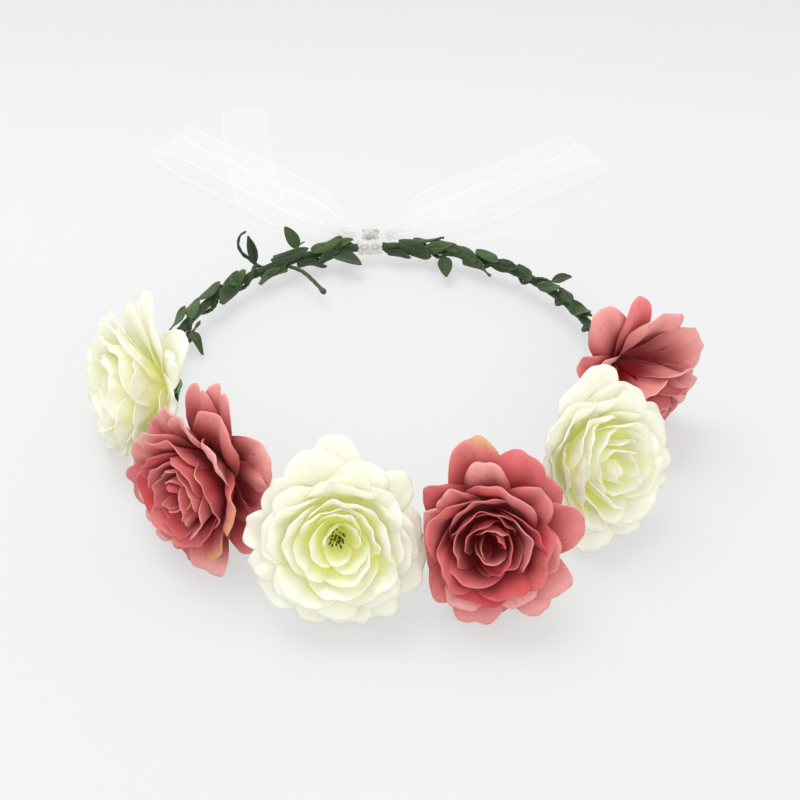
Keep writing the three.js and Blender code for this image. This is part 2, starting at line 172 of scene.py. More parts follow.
def petalMaterial(name, s):
    look, tree = newMaterial(name)
    across, along, uv = flatPlace(tree)
    t = attribute(tree, "along")
    rim = attribute(tree, "rim")
    tone = attribute(tree, "tone")
    tint = attribute(tree, "tint")
    depthShade = attribute(tree, "depthShade")
    stretched = node(tree, "VectorMath", {"operation": "MULTIPLY"}, (uv, petalNoise["stretch"]))
    blotch = noiseOver(tree, uv, petalNoise["blotch"], 3.0)
    streak = noiseOver(tree, stretched, petalNoise["streak"], 3.0, 0.6)
    base = mixColour(tree, (t * 1.1 + blotch * 0.5 + streak * 0.3 - 0.12).clamp(), s["deep"], s["body"])
    edge = rim.band(s["rimFrom"], 1.0) * (blotch * 1.6 - 0.2) * (0.3 + tone)
    weave = weaveHeight(across, along, s["pitch"])
    washes = (
        # painted highlight: lighter towards the tip, more on petals of higher random tone
        (tone * t * t * (0.6 + streak), "light"), (streak.band(0.56, 0.72) * s["veinShare"], "vein"),
        # pale rims: partly worn cut edges, partly a painted highlight where light comes through the rim
        (edge * s["rimShare"], "rimColour"),
        (tint * (rim.band(0.35, 1.0) * 0.75 + blotch * 0.9 - 0.5).clamp(), "tintColour"),
        # painted shade where the flower is deep, darker towards the petal's base; on cream petals partly
        # their lime base colour
        (depthShade * s["depthShadeShare"], "depthShadeColour"), (weave * s["weaveShade"], "deep"),
    )
    for share, colour in washes:
        base = mixColour(tree, share.clamp(), base, s[colour])
    rough = s["rough"] + streak * 0.12 - rim * 0.08
    # painted light: the petals glow as if lit through, most in the flower's depths
    glow = mixColour(tree, (depthShade * 0.9 + 0.3).clamp(), (0.0, 0.0, 0.0), s["glow"])
    fine = noiseOver(tree, stretched, petalNoise["fine"], 2.0)
    height = weave * 0.3 + streak * 1.4 + fine * 0.6 + blotch * 0.5
    finishMaterial(tree, base, rough, height, 0.6, 0.0004, s["through"], behind=s["behind"],
                   **{"Sheen Weight": s["sheen"], "Sheen Roughness": 0.4, "Specular IOR Level": s["gloss"],
                      "Emission Color": glow, "Emission Strength": s["glowing"]})
    return look


coralCloth = {
    # light is the colour of a painted highlight towards the petal tips
    "deep": srgb(176, 40, 50), "body": srgb(214, 84, 90), "light": srgb(255, 190, 184),
    "vein": srgb(190, 58, 66), "veinShare": 0.45,
    # rimColour is a pale edge, partly worn cut edge and partly painted highlight
    "rimColour": srgb(250, 190, 178), "rimFrom": 0.93, "rimShare": 0.6,
    # the colour of the painted shade in the flower's depths, a deep red
    "tintColour": srgb(226, 192, 122), "depthShadeColour": srgb(120, 8, 14), "depthShadeShare": 0.9,
    "pitch": 0.42, "weaveShade": 0.12, "rough": 0.62, "sheen": 0.14, "gloss": 0.2, "through": 0.14,
    # glow and glowing are painted light, a glow of light seemingly let through the petals
    "behind": srgb(226, 84, 84), "glow": srgb(206, 16, 20), "glowing": 0.045,
}
palePinkCloth = {
    **coralCloth,
    "deep": srgb(206, 74, 80), "body": srgb(242, 136, 136), "light": srgb(254, 186, 180),
    "rimColour": srgb(252, 206, 198),
}
creamCloth = {
    "deep": srgb(254, 255, 226), "body": srgb(255, 255, 250), "light": srgb(255, 255, 254),
    "vein": srgb(251, 253, 232), "veinShare": 0.4,
    "rimColour": srgb(255, 255, 255), "rimFrom": 0.88, "rimShare": 0.8,
    # the colour in the flower's depths: partly the lime base colour, partly painted shade
    "tintColour": srgb(246, 251, 212), "depthShadeColour": srgb(254, 255, 132), "depthShadeShare": 0.75,
    "pitch": 0.42, "weaveShade": 0.08, "rough": 0.6, "sheen": 0.2, "gloss": 0.3, "through": 0.5,
    "behind": srgb(255, 255, 243), "glow": srgb(250, 250, 176), "glowing": 0.12,
}
coralPetal = petalMaterial("dustyCoralSilk", coralCloth)
pinkPetal = petalMaterial("palePinkSilk", palePinkCloth)
creamPetal = petalMaterial("creamSilk", creamCloth)
print("petal cloths made")


def greenMaterial(name, s):
    look, tree = newMaterial(name)
    across, along, uv = flatPlace(tree)
    tone = attribute(tree, "tone")
    t = attribute(tree, "along")
    rim = attribute(tree, "rim")
    blotch = noiseOver(tree, uv, s["blotch"], 4.0, 0.6)
    rib = (across.abs() * -1.0 + 0.5).band(0.0, 0.5) * s["ribShare"]
    side = ((across.abs() * s["sideLean"] + along) * (2 * pi / s["sidePitch"])).sin()
    base = mixColour(tree, (blotch * 1.1 - 0.1).clamp(), s["deep"], s["body"])
    washes = (
        (tone * 0.9, "light"), (rib, "ribColour"), (side.band(0.7, 1.0) * s["sideShare"], "ribColour"),
        (rim.band(0.85, 1.0) * s["wear"], "light"), (t.band(0.7, 1.0) * 0.18, "ribColour"),
    )
    for share, colour in washes:
        base = mixColour(tree, share.clamp(), base, s[colour])
    rough = s["rough"] + blotch * 0.25
    weave = weaveHeight(across, along, s["pitch"])
    height = weave * 0.3 + side * s["sideShare"] + blotch * 0.8 - rib * 2.0
    finishMaterial(tree, base, rough, height, 0.6, 0.0003, s["through"], behind=s["light"],
                   **{"Sheen Weight": 0.2, "Specular IOR Level": 0.35})
    return look


leafCloth = {
    "deep": srgb(16, 31, 15), "body": srgb(38, 60, 27), "light": srgb(74, 102, 48),
    "ribColour": srgb(84, 108, 56), "ribShare": 0.3, "sideLean": 1.3, "sidePitch": 2.4,
    "sideShare": 0.22, "wear": 0.3, "blotch": 0.25, "rough": 0.5, "pitch": 0.5, "through": 0.08,
}
leafGreen = greenMaterial("gardenLeafCloth", leafCloth)
stemGreen = greenMaterial("twistedStemCloth", {
    **leafCloth, "body": srgb(34, 54, 26), "light": srgb(66, 90, 44), "ribShare": 0.1,
    "sideLean": 0.0, "sidePitch": 1.6, "sideShare": 0.3, "through": 0.0,
})
tapeGreen = greenMaterial("waxedTapeGreen", {
    **leafCloth, "deep": srgb(18, 34, 17), "body": srgb(34, 54, 26), "light": srgb(66, 90, 46),
    "ribShare": 0.0, "sideLean": 0.0, "sidePitch": 1.1, "sideShare": 0.25, "rough": 0.58, "through": 0.0,
})
sepalGreen = greenMaterial("sepalGreen", {
    **leafCloth, "deep": srgb(66, 104, 40), "body": srgb(98, 142, 62), "light": srgb(146, 180, 96),
    "ribColour": srgb(150, 184, 104), "through": 0.15,
})


def organzaMaterial(name, s):
    # clear between its threads, denser at the woven edge
    look, tree = newMaterial(name)
    across, along, uv = flatPlace(tree)
    rim = attribute(tree, "rim")
    blotch = noiseOver(tree, uv, 0.3, 3.0)
    warp = (across * (2 * pi / s["pitch"])).sin() * 0.5 + 0.5
    weft = (along * (2 * pi / s["pitch"])).sin() * 0.5 + 0.5
    threads = (warp * 0.5 + weft * 0.5).band(0.25, 0.95)
    edge = rim.band(0.93, 0.98)
    alpha = (s["sheer"] + threads * s["thread"] + edge * s["edge"] + blotch * 0.01).clamp()
    base = mixColour(tree, blotch, s["low"], s["high"])
    finishMaterial(tree, base, s["rough"] + blotch * 0.1, threads, 0.3, 0.0001, alpha=alpha,
                   **{"Sheen Weight": 0.35, "Specular IOR Level": 0.4})
    return look


sheerWhite = organzaMaterial("sheerOrganza", {
    "pitch": 0.5, "sheer": 0.02, "thread": 0.08, "edge": 0.14, "rough": 0.42,
    "low": srgb(236, 236, 226), "high": srgb(246, 246, 239),
})
knotWhite = organzaMaterial("gatheredOrganza", {
    "pitch": 0.5, "sheer": 0.4, "thread": 0.34, "edge": 0.1, "rough": 0.65,
    "low": srgb(206, 208, 200), "high": srgb(226, 227, 220),
})


def stamenMaterial():
    look, tree = newMaterial("stamenThread")
    t = attribute(tree, "along")
    speckle = noiseOver(tree, flatPlace(tree)[2], 1.4, 3.0)
    heads = t.band(0.72, 0.86) * attribute(tree, "tone").band(0.4, 0.6)
    base = mixColour(tree, heads, srgb(232, 240, 122), srgb(52, 42, 26))
    base = mixColour(tree, (speckle * 0.35).clamp(), base, srgb(150, 150, 74))
    finishMaterial(tree, base, 0.6 + speckle * 0.2, speckle, 0.5, 0.0002)
    return look


def wireMaterial():
    look, tree = newMaterial("drawnSteelWire")
    place = node(tree, "TexCoord", {}, (), "Object")
    scratch = noiseOver(tree, place, 900.0, 4.0)
    patch = noiseOver(tree, place, 60.0, 3.0)
    base = mixColour(tree, patch, srgb(150, 152, 156), srgb(190, 192, 196))
    finishMaterial(tree, base, 0.28 + scratch * 0.2, scratch, 0.3, 0.0001, Metallic=1.0)
    return look


stamenThread = stamenMaterial()
drawnWire = wireMaterial()
print("greens, organza, stamens and wire made")


def smooth(low, high, x):
    t = np.clip((x - low) / (high - low), 0, 1)
    return t * t * (3 - 2 * t)


class Cloth:  # gathers grids of points into one mesh, with the marks that the materials read
    def __init__(self, name):
        self.name = name
        self.points, self.faces, self.flat, self.marks = [], [], [], []
        self.count = 0

    def grid(self, points, flat, marks, closed=False):
        rows, columns = points.shape[:2]
        numbers = np.arange(rows * columns).reshape(rows, columns) + self.count
        wrap = columns if closed else columns - 1
        for i in range(rows - 1):
            for j in range(wrap):
                k = (j + 1) % columns
                self.faces.append((numbers[i, j], numbers[i, k], numbers[i + 1, k], numbers[i + 1, j]))
        self.points.append(points.reshape(-1, 3))
        self.flat.append(flat.reshape(-1, 2))
        self.marks.append(np.stack([np.broadcast_to(m, (rows, columns)).ravel() for m in marks], 1))
        self.count += rows * columns

    def cap(self, ring, middle, marks):
        # closes a tube with a fan to its middle
        self.points.append(np.asarray(middle, float)[None])
        self.flat.append(np.zeros((1, 2)))
        self.marks.append(np.array([marks], float))
        self.faces += [(start, ring[(i + 1) % len(ring)], self.count) for i, start in enumerate(ring)]
        self.count += 1

    def tube(self, points, flat, marks, middles, endMarks, outward=False):
        # rings closed at both ends
        rows, sides = points.shape[:2]
        first = list(range(self.count, self.count + sides))
        last = [number + (rows - 1) * sides for number in first]
        self.grid(points, flat, marks, closed=True)
        self.cap(first if outward else first[::-1], middles[0], endMarks[0])
        self.cap(last[::-1] if outward else last, middles[-1], endMarks[-1])

    def make(self, material, body, replaced=(), thick=0.0):
        points = np.concatenate(self.points) * mm
        mesh = bpy.data.meshes.new(self.name)
        mesh.from_pydata(points.tolist(), [], [tuple(int(i) for i in f) for f in self.faces])
        flat, marks = np.concatenate(self.flat), np.concatenate(self.marks)
        layer = mesh.uv_layers.new(name="UVMap")
        corners = np.zeros(len(mesh.loops), np.int32)
        mesh.loops.foreach_get("vertex_index", corners)
        layer.data.foreach_set("uv", flat[corners].astype(np.float32).ravel())
        for k, mark in enumerate(("along", "rim", "tone", "tint", "depthShade")):
            made = mesh.attributes.new(mark, "FLOAT", "POINT")
            made.data.foreach_set("value", marks[:, k].astype(np.float32))
        mesh.polygons.foreach_set("use_smooth", [True] * len(mesh.polygons))
        mesh.materials.append(material)
        mesh.update()
        piece = bpy.data.objects.new(self.name, mesh)
        bpy.context.scene.collection.objects.link(piece)
        if thick:
            shell = piece.modifiers.new("thickness", "SOLIDIFY")
            shell.thickness = thick * mm
            shell.offset = 0
        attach(piece, body)
        if replaced:
            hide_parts(*replaced)
        return piece


def run(line):
    # at each point of a line, the way it goes and its length so far
    way = np.gradient(line, axis=0)
    way /= np.linalg.norm(way, axis=1)[:, None]
    return way, np.concatenate([[0], np.cumsum(np.linalg.norm(np.diff(line, axis=0), axis=1))])


def tubeAlong(cloth, path, radius, sides, tone, twist=0.0, lobes=0, lobeDepth=0.0):
    # radius is one number, or one for each point of the path
    path = np.asarray(path, float)
    count = len(path)
    radius = np.broadcast_to(radius, count)
    way, length = run(path)
    side = np.cross(way[0], (0, 0, 1.0))
    if np.linalg.norm(side) < 0.1:
        side = np.cross(way[0], (1.0, 0, 0))
    side /= np.linalg.norm(side)
    rows = []
    for i in range(count):
        side = side - way[i] * (side @ way[i])
        side /= np.linalg.norm(side)
        up = np.cross(way[i], side)
        angle = np.arange(sides) * 2 * pi / sides + twist * length[i]
        swell = 1 - lobeDepth * (0.5 - 0.5 * np.cos(lobes * np.arange(sides) * 2 * pi / sides))
        reach = radius[i] * swell
        rows.append(path[i] + np.outer(np.cos(angle) * reach, side) + np.outer(np.sin(angle) * reach, up))
    points = np.array(rows)
    around = np.arange(sides) / sides * 2 * pi * radius.mean()
    flat = np.stack(np.broadcast_arrays(around[None], length[:, None]), -1)
    share = (length / length[-1])[:, None]
    cloth.tube(points, flat, (share, 0.0, tone, 0.0, 0.0), path, ((0, 0, tone, 0, 0), (1, 0, tone, 0, 0)))


def spline(points, count):
    # a smooth line of count points through a few chosen ones
    knots = np.asarray(points, float)
    padded = np.vstack([2 * knots[0] - knots[1], knots, 2 * knots[-1] - knots[-2]])
    out = []
    for t in np.linspace(0, len(knots) - 1 - 1e-9, count):
        i, f = int(t), t - int(t)
        a, b, c, d = padded[i:i + 4]
        out.append(0.5 * (2 * b + (c - a) * f + (2 * a - 5 * b + 4 * c - d) * f * f
                          + (3 * b - a - 3 * c + d) * f ** 3))
    return np.array(out)


def jointPlace(name):
    return np.array(joints[name]["pos_m"]) / mm


def jointAxis(name):
    axis = np.array(joints[name]["axis"], float)
    return axis / np.linalg.norm(axis)


flowerNames = ("cream_left", "coral_left", "cream_front", "coral_front", "cream_right", "coral_right")
anchors = {n: jointPlace(n + "_tilt") for n in flowerNames}
axes = {n: jointAxis(n + "_tilt") for n in flowerNames}
# three anchors fix the hoop's plane, and its radius follows
a0, a1, a2 = (anchors[n] for n in ("cream_left", "cream_front", "coral_right"))
hoopNormal = np.cross(a1 - a0, a2 - a0)
hoopNormal *= np.sign(hoopNormal[2]) / np.linalg.norm(hoopNormal)
hoopCentre = np.array([0, 0, a0[2] + (hoopNormal[0] * a0[0] + hoopNormal[1] * a0[1]) / hoopNormal[2]])
hoopRadius = float(np.linalg.norm(a0 - hoopCentre))
hoopX = np.array([1.0, 0, 0])
hoopY = np.cross(hoopNormal, hoopX)


def onHoop(azimuth, out=0.0, up=0.0):
    angle = np.radians(azimuth)
    reach = hoopRadius + np.asarray(out, float)
    flat = np.multiply.outer(reach * np.sin(angle), hoopX) - np.multiply.outer(reach * np.cos(angle), hoopY)
    return hoopCentre + flat + np.multiply.outer(np.asarray(up, float) + 0 * angle, hoopNormal)


def alongHoop(azimuth):
    angle = radians(azimuth)
    return cos(angle) * hoopX + sin(angle) * hoopY


print("hoop radius", round(hoopRadius, 2), "centre", hoopCentre.round(2))


# Petals. A petal is a fan of cloth bent along its length, cupped across, with a rolled and ruffled edge.

petalGrid = (20, 23)  # rows along a petal, points across it
petalBase = 5.2  # of the petals above the flower's seat
petalThickness = 0.35
leanPivot = 9.0  # of a leaning heart, above the flower's seat


def petal(cloth, rng, at, reach, height, width, bend=30, cup=55, curl=20, side=0.1, ruffle=0.035,
          root=2.5, base=petalBase, drop=0.36, waist=0.34, notch=0.0, crease=0.015, wobble=0.025,
          tone=None, tint=0.0, depthShade=0.0, dark=(0.15, 0.8), shift=(0.0, 0.0)):
    # at is its angle round the flower, reach and height are where its tip lies; bend, cup and curl are
    # along it, across it and at its tip; root and base are where it starts; shift moves its tip aside
    rows, columns = petalGrid
    u = np.linspace(-1, 1, columns)[None, :]
    t = np.linspace(0, 1, rows)[:, None] ** 0.9
    phases = [rng.uniform(0, 2 * pi) for _ in range(8)]
    lean, twist, slant = rng.uniform(-0.07, 0.07), rng.uniform(-11, 11), rng.uniform(-0.5, 0.5)
    chordAngle = atan2(reach - root, height - base)
    chord = hypot(reach - root, height - base)
    half = radians(bend) / 2
    length = chord * (half / sin(half) if abs(half) > 1e-3 else 1)
    flare = waist + (1 - waist) * np.sin(pi / 2 * np.clip(t / 0.7, 0, 1)) ** 0.85
    flare = flare * (1 - 0.06 * smooth(0.8, 1, t))
    x = u * width / 2 * flare
    edge = 0.8 * np.sin(2.6 * u + phases[0]) + 0.35 * np.sin(6.3 * u + phases[1]) \
        + 0.12 * np.sin(14.0 * u + phases[2])
    y = t * length * (1 - drop * np.abs(u) ** 3.4 * t) + wobble * length * edge * t ** 4
    y = y - notch * length * np.exp(-(u / 0.16) ** 2) * t ** 5
    s = y / length
    # the centreline: an arc from the root to the tip, with the tip curling further
    fine = np.linspace(0, 1.15, 70)
    angle = chordAngle + radians(bend) * (fine - 0.5) + radians(curl) * smooth(0.68, 1.05, fine)
    step = fine[1] * length
    along = np.concatenate([[0], np.cumsum((np.sin(angle[1:]) + np.sin(angle[:-1])) / 2 * step)])
    rise = np.concatenate([[0], np.cumsum((np.cos(angle[1:]) + np.cos(angle[:-1])) / 2 * step)])
    outAt, upAt, angleAt = (np.interp(s, fine, v) for v in (along, rise, angle))
    turn = radians(cup) / width * (1 - 0.45 * smooth(0.45, 1.0, s))
    across = np.sin(turn * x) / turn
    lift = (1 - np.cos(turn * x)) / turn
    rim = np.maximum(np.abs(u) ** 3 * smooth(0.15, 0.6, t), t ** 5 * np.ones_like(u))
    lift = lift - side * width * smooth(0.55, 1.0, np.abs(u)) * (1 + slant * np.sign(u)) * smooth(0.2, 0.9, t)
    waves = np.sin(3.4 * u + 2.0 * t + phases[3]) + 0.6 * np.sin(6.1 * u + phases[4])
    lift = lift + ruffle * width * waves * t ** 1.5
    lift = lift + 0.012 * width * (np.sin(9 * t + 4 * u + phases[5]) + np.sin(11 * u - 5 * t + phases[6])) * t
    lift = lift - crease * width * np.exp(-(u / 0.1) ** 2) * np.sin(pi * np.clip(t * 1.1, 0, 1))
    across = across + lean * s * s * length
    spin = np.radians(twist) * s
    across, lift = across * np.cos(spin) - lift * np.sin(spin), across * np.sin(spin) + lift * np.cos(spin)
    out = root + outAt - lift * np.cos(angleAt)
    up = base + upAt + lift * np.sin(angleAt)
    place = radians(at)
    aside = smooth(0.0, 1.0, s)
    points = np.stack([out * cos(place) - across * sin(place) + shift[0] * aside,
                       out * sin(place) + across * cos(place) + shift[1] * aside, up], -1)
    tone = rng.uniform(0.2, 1.0) if tone is None else tone
    # painted shade in the flower's depths: strongest at the petal's base, fading over the span dark
    inside = depthShade * (1 - smooth(*dark, s + 0.06 * np.sin(5 * u + phases[4])))
    tintHere = tint * smooth(-0.5, 0.7, np.sin(2.2 * u + phases[7])) * np.ones_like(t)
    flat = np.stack([x + 40 * phases[0], y + 40 * phases[1]], -1)
    cloth.append((points, flat, (s, rim, tone, tintHere, inside)))


# Each flower's seat off the wire, outwards and upwards, and the way that it faces and rises.
flowers = {
    "cream_left": {"out": -9.5, "up": 12, "facing": -68, "rise": 12},
    "coral_left": {"out": -7, "up": 11, "facing": -44, "rise": 12},
    "cream_front": {"out": -1, "up": 5.5, "facing": 2, "rise": 30},
    "coral_front": {"out": 3, "up": 5.5, "facing": -2, "rise": 28},
    "cream_right": {"out": -6, "up": 8, "facing": 34, "rise": 28},
    "coral_right": {"out": -6, "up": 20, "facing": 38, "rise": -4},
}


def headOf(name):
    # the seat, and the flower's own across, up and facing ways as rows
    s = flowers[name]
    outward = np.cross(alongOf(name), hoopNormal)
    seat = anchors[name] + outward * s["out"] + hoopNormal * s["up"]
    face, rise = radians(s["facing"]), radians(s["rise"])
    facing = np.array([sin(face) * cos(rise), -cos(face) * cos(rise), sin(rise)])
    across = np.cross((0, 0, 1.0), facing)
    across /= np.linalg.norm(across)
    return seat, np.array([across, np.cross(facing, across), facing])


def alongOf(name):
    return -axes[name]


def turned(points, anchor, axis, degrees):
    angle = radians(degrees)
    v = points - anchor
    return anchor + v * cos(angle) + np.cross(axis, v) * sin(angle) \
        + np.outer(v @ axis, axis) * (1 - cos(angle))


def pressed(distance, gap, soft):
    # how far back each distance past a wall goes, so that it gently ends gap short of it
    over = np.clip((distance + gap) / soft, -30, 30)
    return np.where(over > -6, np.log1p(np.exp(over)) * soft, 0)


# the wall between a flower and the next: how far past the middle it stands, its turn and its slope
walls = {
    "cream_left": (0.0, -8, 0.1), "coral_left": (2.5, -14, 0.15), "cream_front": (2.5, -10, 0.16),
    "coral_front": (1.5, 18, -0.15), "cream_right": (-2.0, 4, -0.05),
}
wallFoot = {"out": 12, "up": 14}
# the gap kept and how gently: from a neighbour at rest and tilted, the band and the table
clear = {
    "rest": (0.3, 0.9), "tilted": (-0.4, 0.5), "band": (4.4, 0.5), "table": (0.4, 0.8),
    "leaf": (0.4, 0.6), "ribbon": (0.25, 0.15),
}


def keepClear(points, name):
    # presses a flower's points back from its neighbours at any tilt, the table and the band
    order = list(flowerNames)
    spot = order.index(name)
    tilt = joints[name + "_tilt"]["range_deg"][1]
    for step in (-1, 1):
        if 0 <= spot + step < len(order):
            between = (anchors[name] + anchors[order[spot + step]]) / 2 - hoopCentre
            between /= np.linalg.norm(between)
            shift, turn, slope = walls[order[min(spot, spot + step)]]
            wall = np.cross(hoopNormal, between) * cos(radians(turn))
            wall = wall - between * sin(radians(turn)) + hoopNormal * slope
            wall *= step / np.linalg.norm(wall)
            foot = hoopCentre + between * (hoopRadius + wallFoot["out"]) + hoopNormal * wallFoot["up"]
            for degrees, state in ((0, "rest"), (tilt, "tilted"), (-tilt, "tilted")):
                moved = turned(points, anchors[name], axes[name], degrees)
                back = pressed((moved - foot) @ wall - shift * step, *clear[state])
                moved = moved - back[:, None] * wall
                points = turned(moved, anchors[name], axes[name], -degrees)
    # the band, at any tilt
    v = points - hoopCentre
    up = v @ hoopNormal
    flat = v - np.outer(up, hoopNormal)
    far = np.linalg.norm(flat, axis=1)
    away = np.hypot(far - hoopRadius, up)
    push = pressed(-away, *clear["band"])
    points = points + (flat / far[:, None] * ((far - hoopRadius) / away)[:, None]
                       + np.outer(up / away, hoopNormal)) * push[:, None]
    points[:, 2] += pressed(-points[:, 2], *clear["table"])
    return points


fitting = {"tries": 24, "allowed": 0.8, "reach": -0.7, "width": -0.15, "height": 0.2}


def fitted(name, shape):
    # a petal that would press on its neighbour reaches less far and stands up more
    seat, ways = headOf(name)
    shape = dict(shape)
    at = radians(shape["at"])
    for _ in range(fitting["tries"]):
        reach, half = shape["reach"], shape["width"] * 0.36
        edge = [(reach - abs(k) * 4) * np.array([cos(at), sin(at), 0])
                + half * k * np.array([-sin(at), cos(at), 0]) for k in (-1, 0, 1)]
        world = seat + (np.array(edge) + (0, 0, shape["height"])) @ ways
        if np.abs(keepClear(world.copy(), name) - world).max() < fitting["allowed"]:
            break
        for key in ("reach", "width", "height"):
            shape[key] += fitting[key]
    return shape


def tipped(points, lean):
    # points of a flower tipped about its axis, to the right and upwards
    right, upwards = (radians(v) for v in lean)
    tip = np.array(Matrix.Rotation(right, 3, "Y") @ Matrix.Rotation(-upwards, 3, "X"))
    return (points - (0, 0, leanPivot)) @ tip.T + (0, 0, leanPivot)


def petalPiece(name, part, petals, material, node, lean=(0, 0)):
    # the petals of one ring as one piece
    seat, ways = headOf(name)
    cloth = Cloth(name + "_" + part)
    for points, flat, marks in petals:
        world = keepClear(seat + tipped(points.reshape(-1, 3), lean) @ ways, name)
        cloth.grid(world.reshape(points.shape), flat, marks)
    return cloth.make(material, name, (name + "_" + node,), petalThickness)


# a rose heart from its middle outwards: radius, petals, degrees each one wraps, height under the
# top, curl of the lip, and how far the layer stands off the axis
heartLayers = (
    (2.5, 2, 215, 0.6, 6, 1.5), (4.9, 2, 175, 0.9, 8, 0.5), (7.2, 2, 160, 0.2, 16, 0.9),
    (10.2, 3, 118, 2.6, 12, 0.9), (12.8, 3, 118, 0.6, 26, 0.5), (15.6, 4, 96, 0.2, 38, 0.3),
    (18.4, 4, 96, 1.6, 66, 0.0),
)


creamHeart = (
    (5.4, 3, 118, 4.4, 34, 1.4), (8.6, 3, 124, 2.6, 34, 1.2), (12.2, 4, 112, 1.6, 30, 0.8),
    (16.0, 4, 104, 1.0, 38, 0.4), (20.0, 5, 86, 2.6, 54, 0.0),
)


def rosette(cloth, rng, layers=heartLayers, rim=18.4, top=34, start=0.0, off=(1.4, 1.0), deep=1.25,
            aside=(0, 0)):
    # deep is how strong the painted shade is in its depths
    # off moves its inmost layers most, aside moves all of them
    for k, (radius, count, around, under, lip, stand) in enumerate(layers):
        radius *= 1 if k < 3 else rim / 18.4
        for i in range(count):
            at = start + k * 52 + i * 360 / count + rng.uniform(-12, 12) * min(1, k / 2)
            way = radians(at if k == 0 and count == 2 else start + k * 52)
            height = top - under + rng.uniform(-1.1, 1.1)
            shift = (aside[0] + off[0] * (1 - k / 7) + stand * cos(way),
                     aside[1] + off[1] * (1 - k / 7) + stand * sin(way))
            petal(cloth, rng, at, reach=radius * rng.uniform(0.93, 1.06), width=radians(around) * radius,
                  height=height, bend=-26 - radius * 2.2, cup=around * 0.95, curl=lip, side=-0.01,
                  ruffle=0.02 + 0.012 * min(k, 3) / 3, root=1.0 + radius * 0.1, base=petalBase + 3, drop=0.3,
                  waist=0.5, crease=0.0, wobble=0.035, depthShade=deep, tone=rng.uniform(0.0, 0.5),
                  dark=(0.45, 0.99 - 0.02 * k), shift=shift, tint=0.8 if rng.random() < 0.14 else 0.0)


def grown(rng, rows):
    group = []
    for shape in rows:
        petal(group, rng, **shape)
    return group


def ringsAndHeart(name, seed, outer, middle, material, heart):
    # draws a flower's petals in order, makes its outer ring and gives back the rest
    rng = random.Random(seed)
    rim = grown(rng, [fitted(name, shape) for shape in outer])
    petalPiece(name, "outerRing", rim, material, "outer_petals")
    inside, whole = grown(rng, middle), []
    rosette(whole, rng, **heart)
    return rng, inside, whole


def rosePetals(name, seed, outer, middle, heart, lean=(0, 0), material=coralPetal):
    _, inside, whole = ringsAndHeart(name, seed, outer, middle, material, heart)
    petalPiece(name, "middleRing", inside, material, "middle_petals", lean)
    petalPiece(name, "innerRing", whole[4:], coralPetal, "inner_petals", lean)
    petalPiece(name, "curledBud", whole[:4], coralPetal, "bud", lean)


def creamPetals(name, seed, outer, middle, heart, lean=(0, 0)):
    heart = {"layers": creamHeart, "deep": 0.9, **heart}
    rng, inside, whole = ringsAndHeart(name, seed, outer, middle, creamPetal, heart)
    petalPiece(name, "middleRing", inside + whole[-5:], creamPetal, "middle_petals", lean)
    petalPiece(name, "innerRing", whole[:-5], creamPetal, "inner_petals", lean)
    stamens(name, rng, lean)


stamenShape = {
    "threads": 24, "length": 9.0, "thick": 0.14, "head": 0.42, "spread": 24,
    "domeUp": (2, 5, 7.2, 8), "domeOut": (3.4, 3.4, 3.4, 3.3, 3.2, 3.0, 2.6, 1.9, 0.7),
}


def stamens(name, rng, lean):
    # a tuft of fine threads with dark heads, on a small green button
    s = stamenShape
    seat, ways = headOf(name)
    cloth = Cloth(name + "_stamenTuft")
    for i in range(s["threads"]):
        at = i * goldenAngle
        splay = radians(s["spread"]) * sqrt((i + 0.5) / s["threads"])
        length = s["length"] * rng.uniform(0.8, 1.0)
        way = np.array([sin(splay) * cos(at), sin(splay) * sin(at), cos(splay)])
        bow = np.array([rng.uniform(-1, 1), rng.uniform(-1, 1), 0]) * 0.8
        t = np.linspace(0, 1, 9)[:, None]
        path = tipped(way * t * length + bow * t * t + (0, 0, petalBase + 4), lean)
        swell = np.array([1, 1, 1, 1, 1, 1, 1.4, s["head"] / s["thick"], 1.2]) * s["thick"]
        tubeAlong(cloth, seat + path @ ways, swell, sides=6, tone=rng.uniform(0.65, 1))
    dome = tipped(spline([(0, 0, petalBase + up) for up in s["domeUp"]], len(s["domeOut"])), lean)
    tubeAlong(cloth, seat + dome @ ways, s["domeOut"], sides=18, tone=0.1)
    return cloth.make(stamenThread, name, (name + "_stamens",))


calyx = {
    "profile": [(0.2, 0), (1.8, 0.15), (3.1, 2), (5.4, 4.2), (6.9, 5.4), (6.2, 5.3), (0.3, 4.9)],  # out, up
    "rows": 22, "sides": 20, "stemRadius": 1.2, "stemStart": 3.5,
}


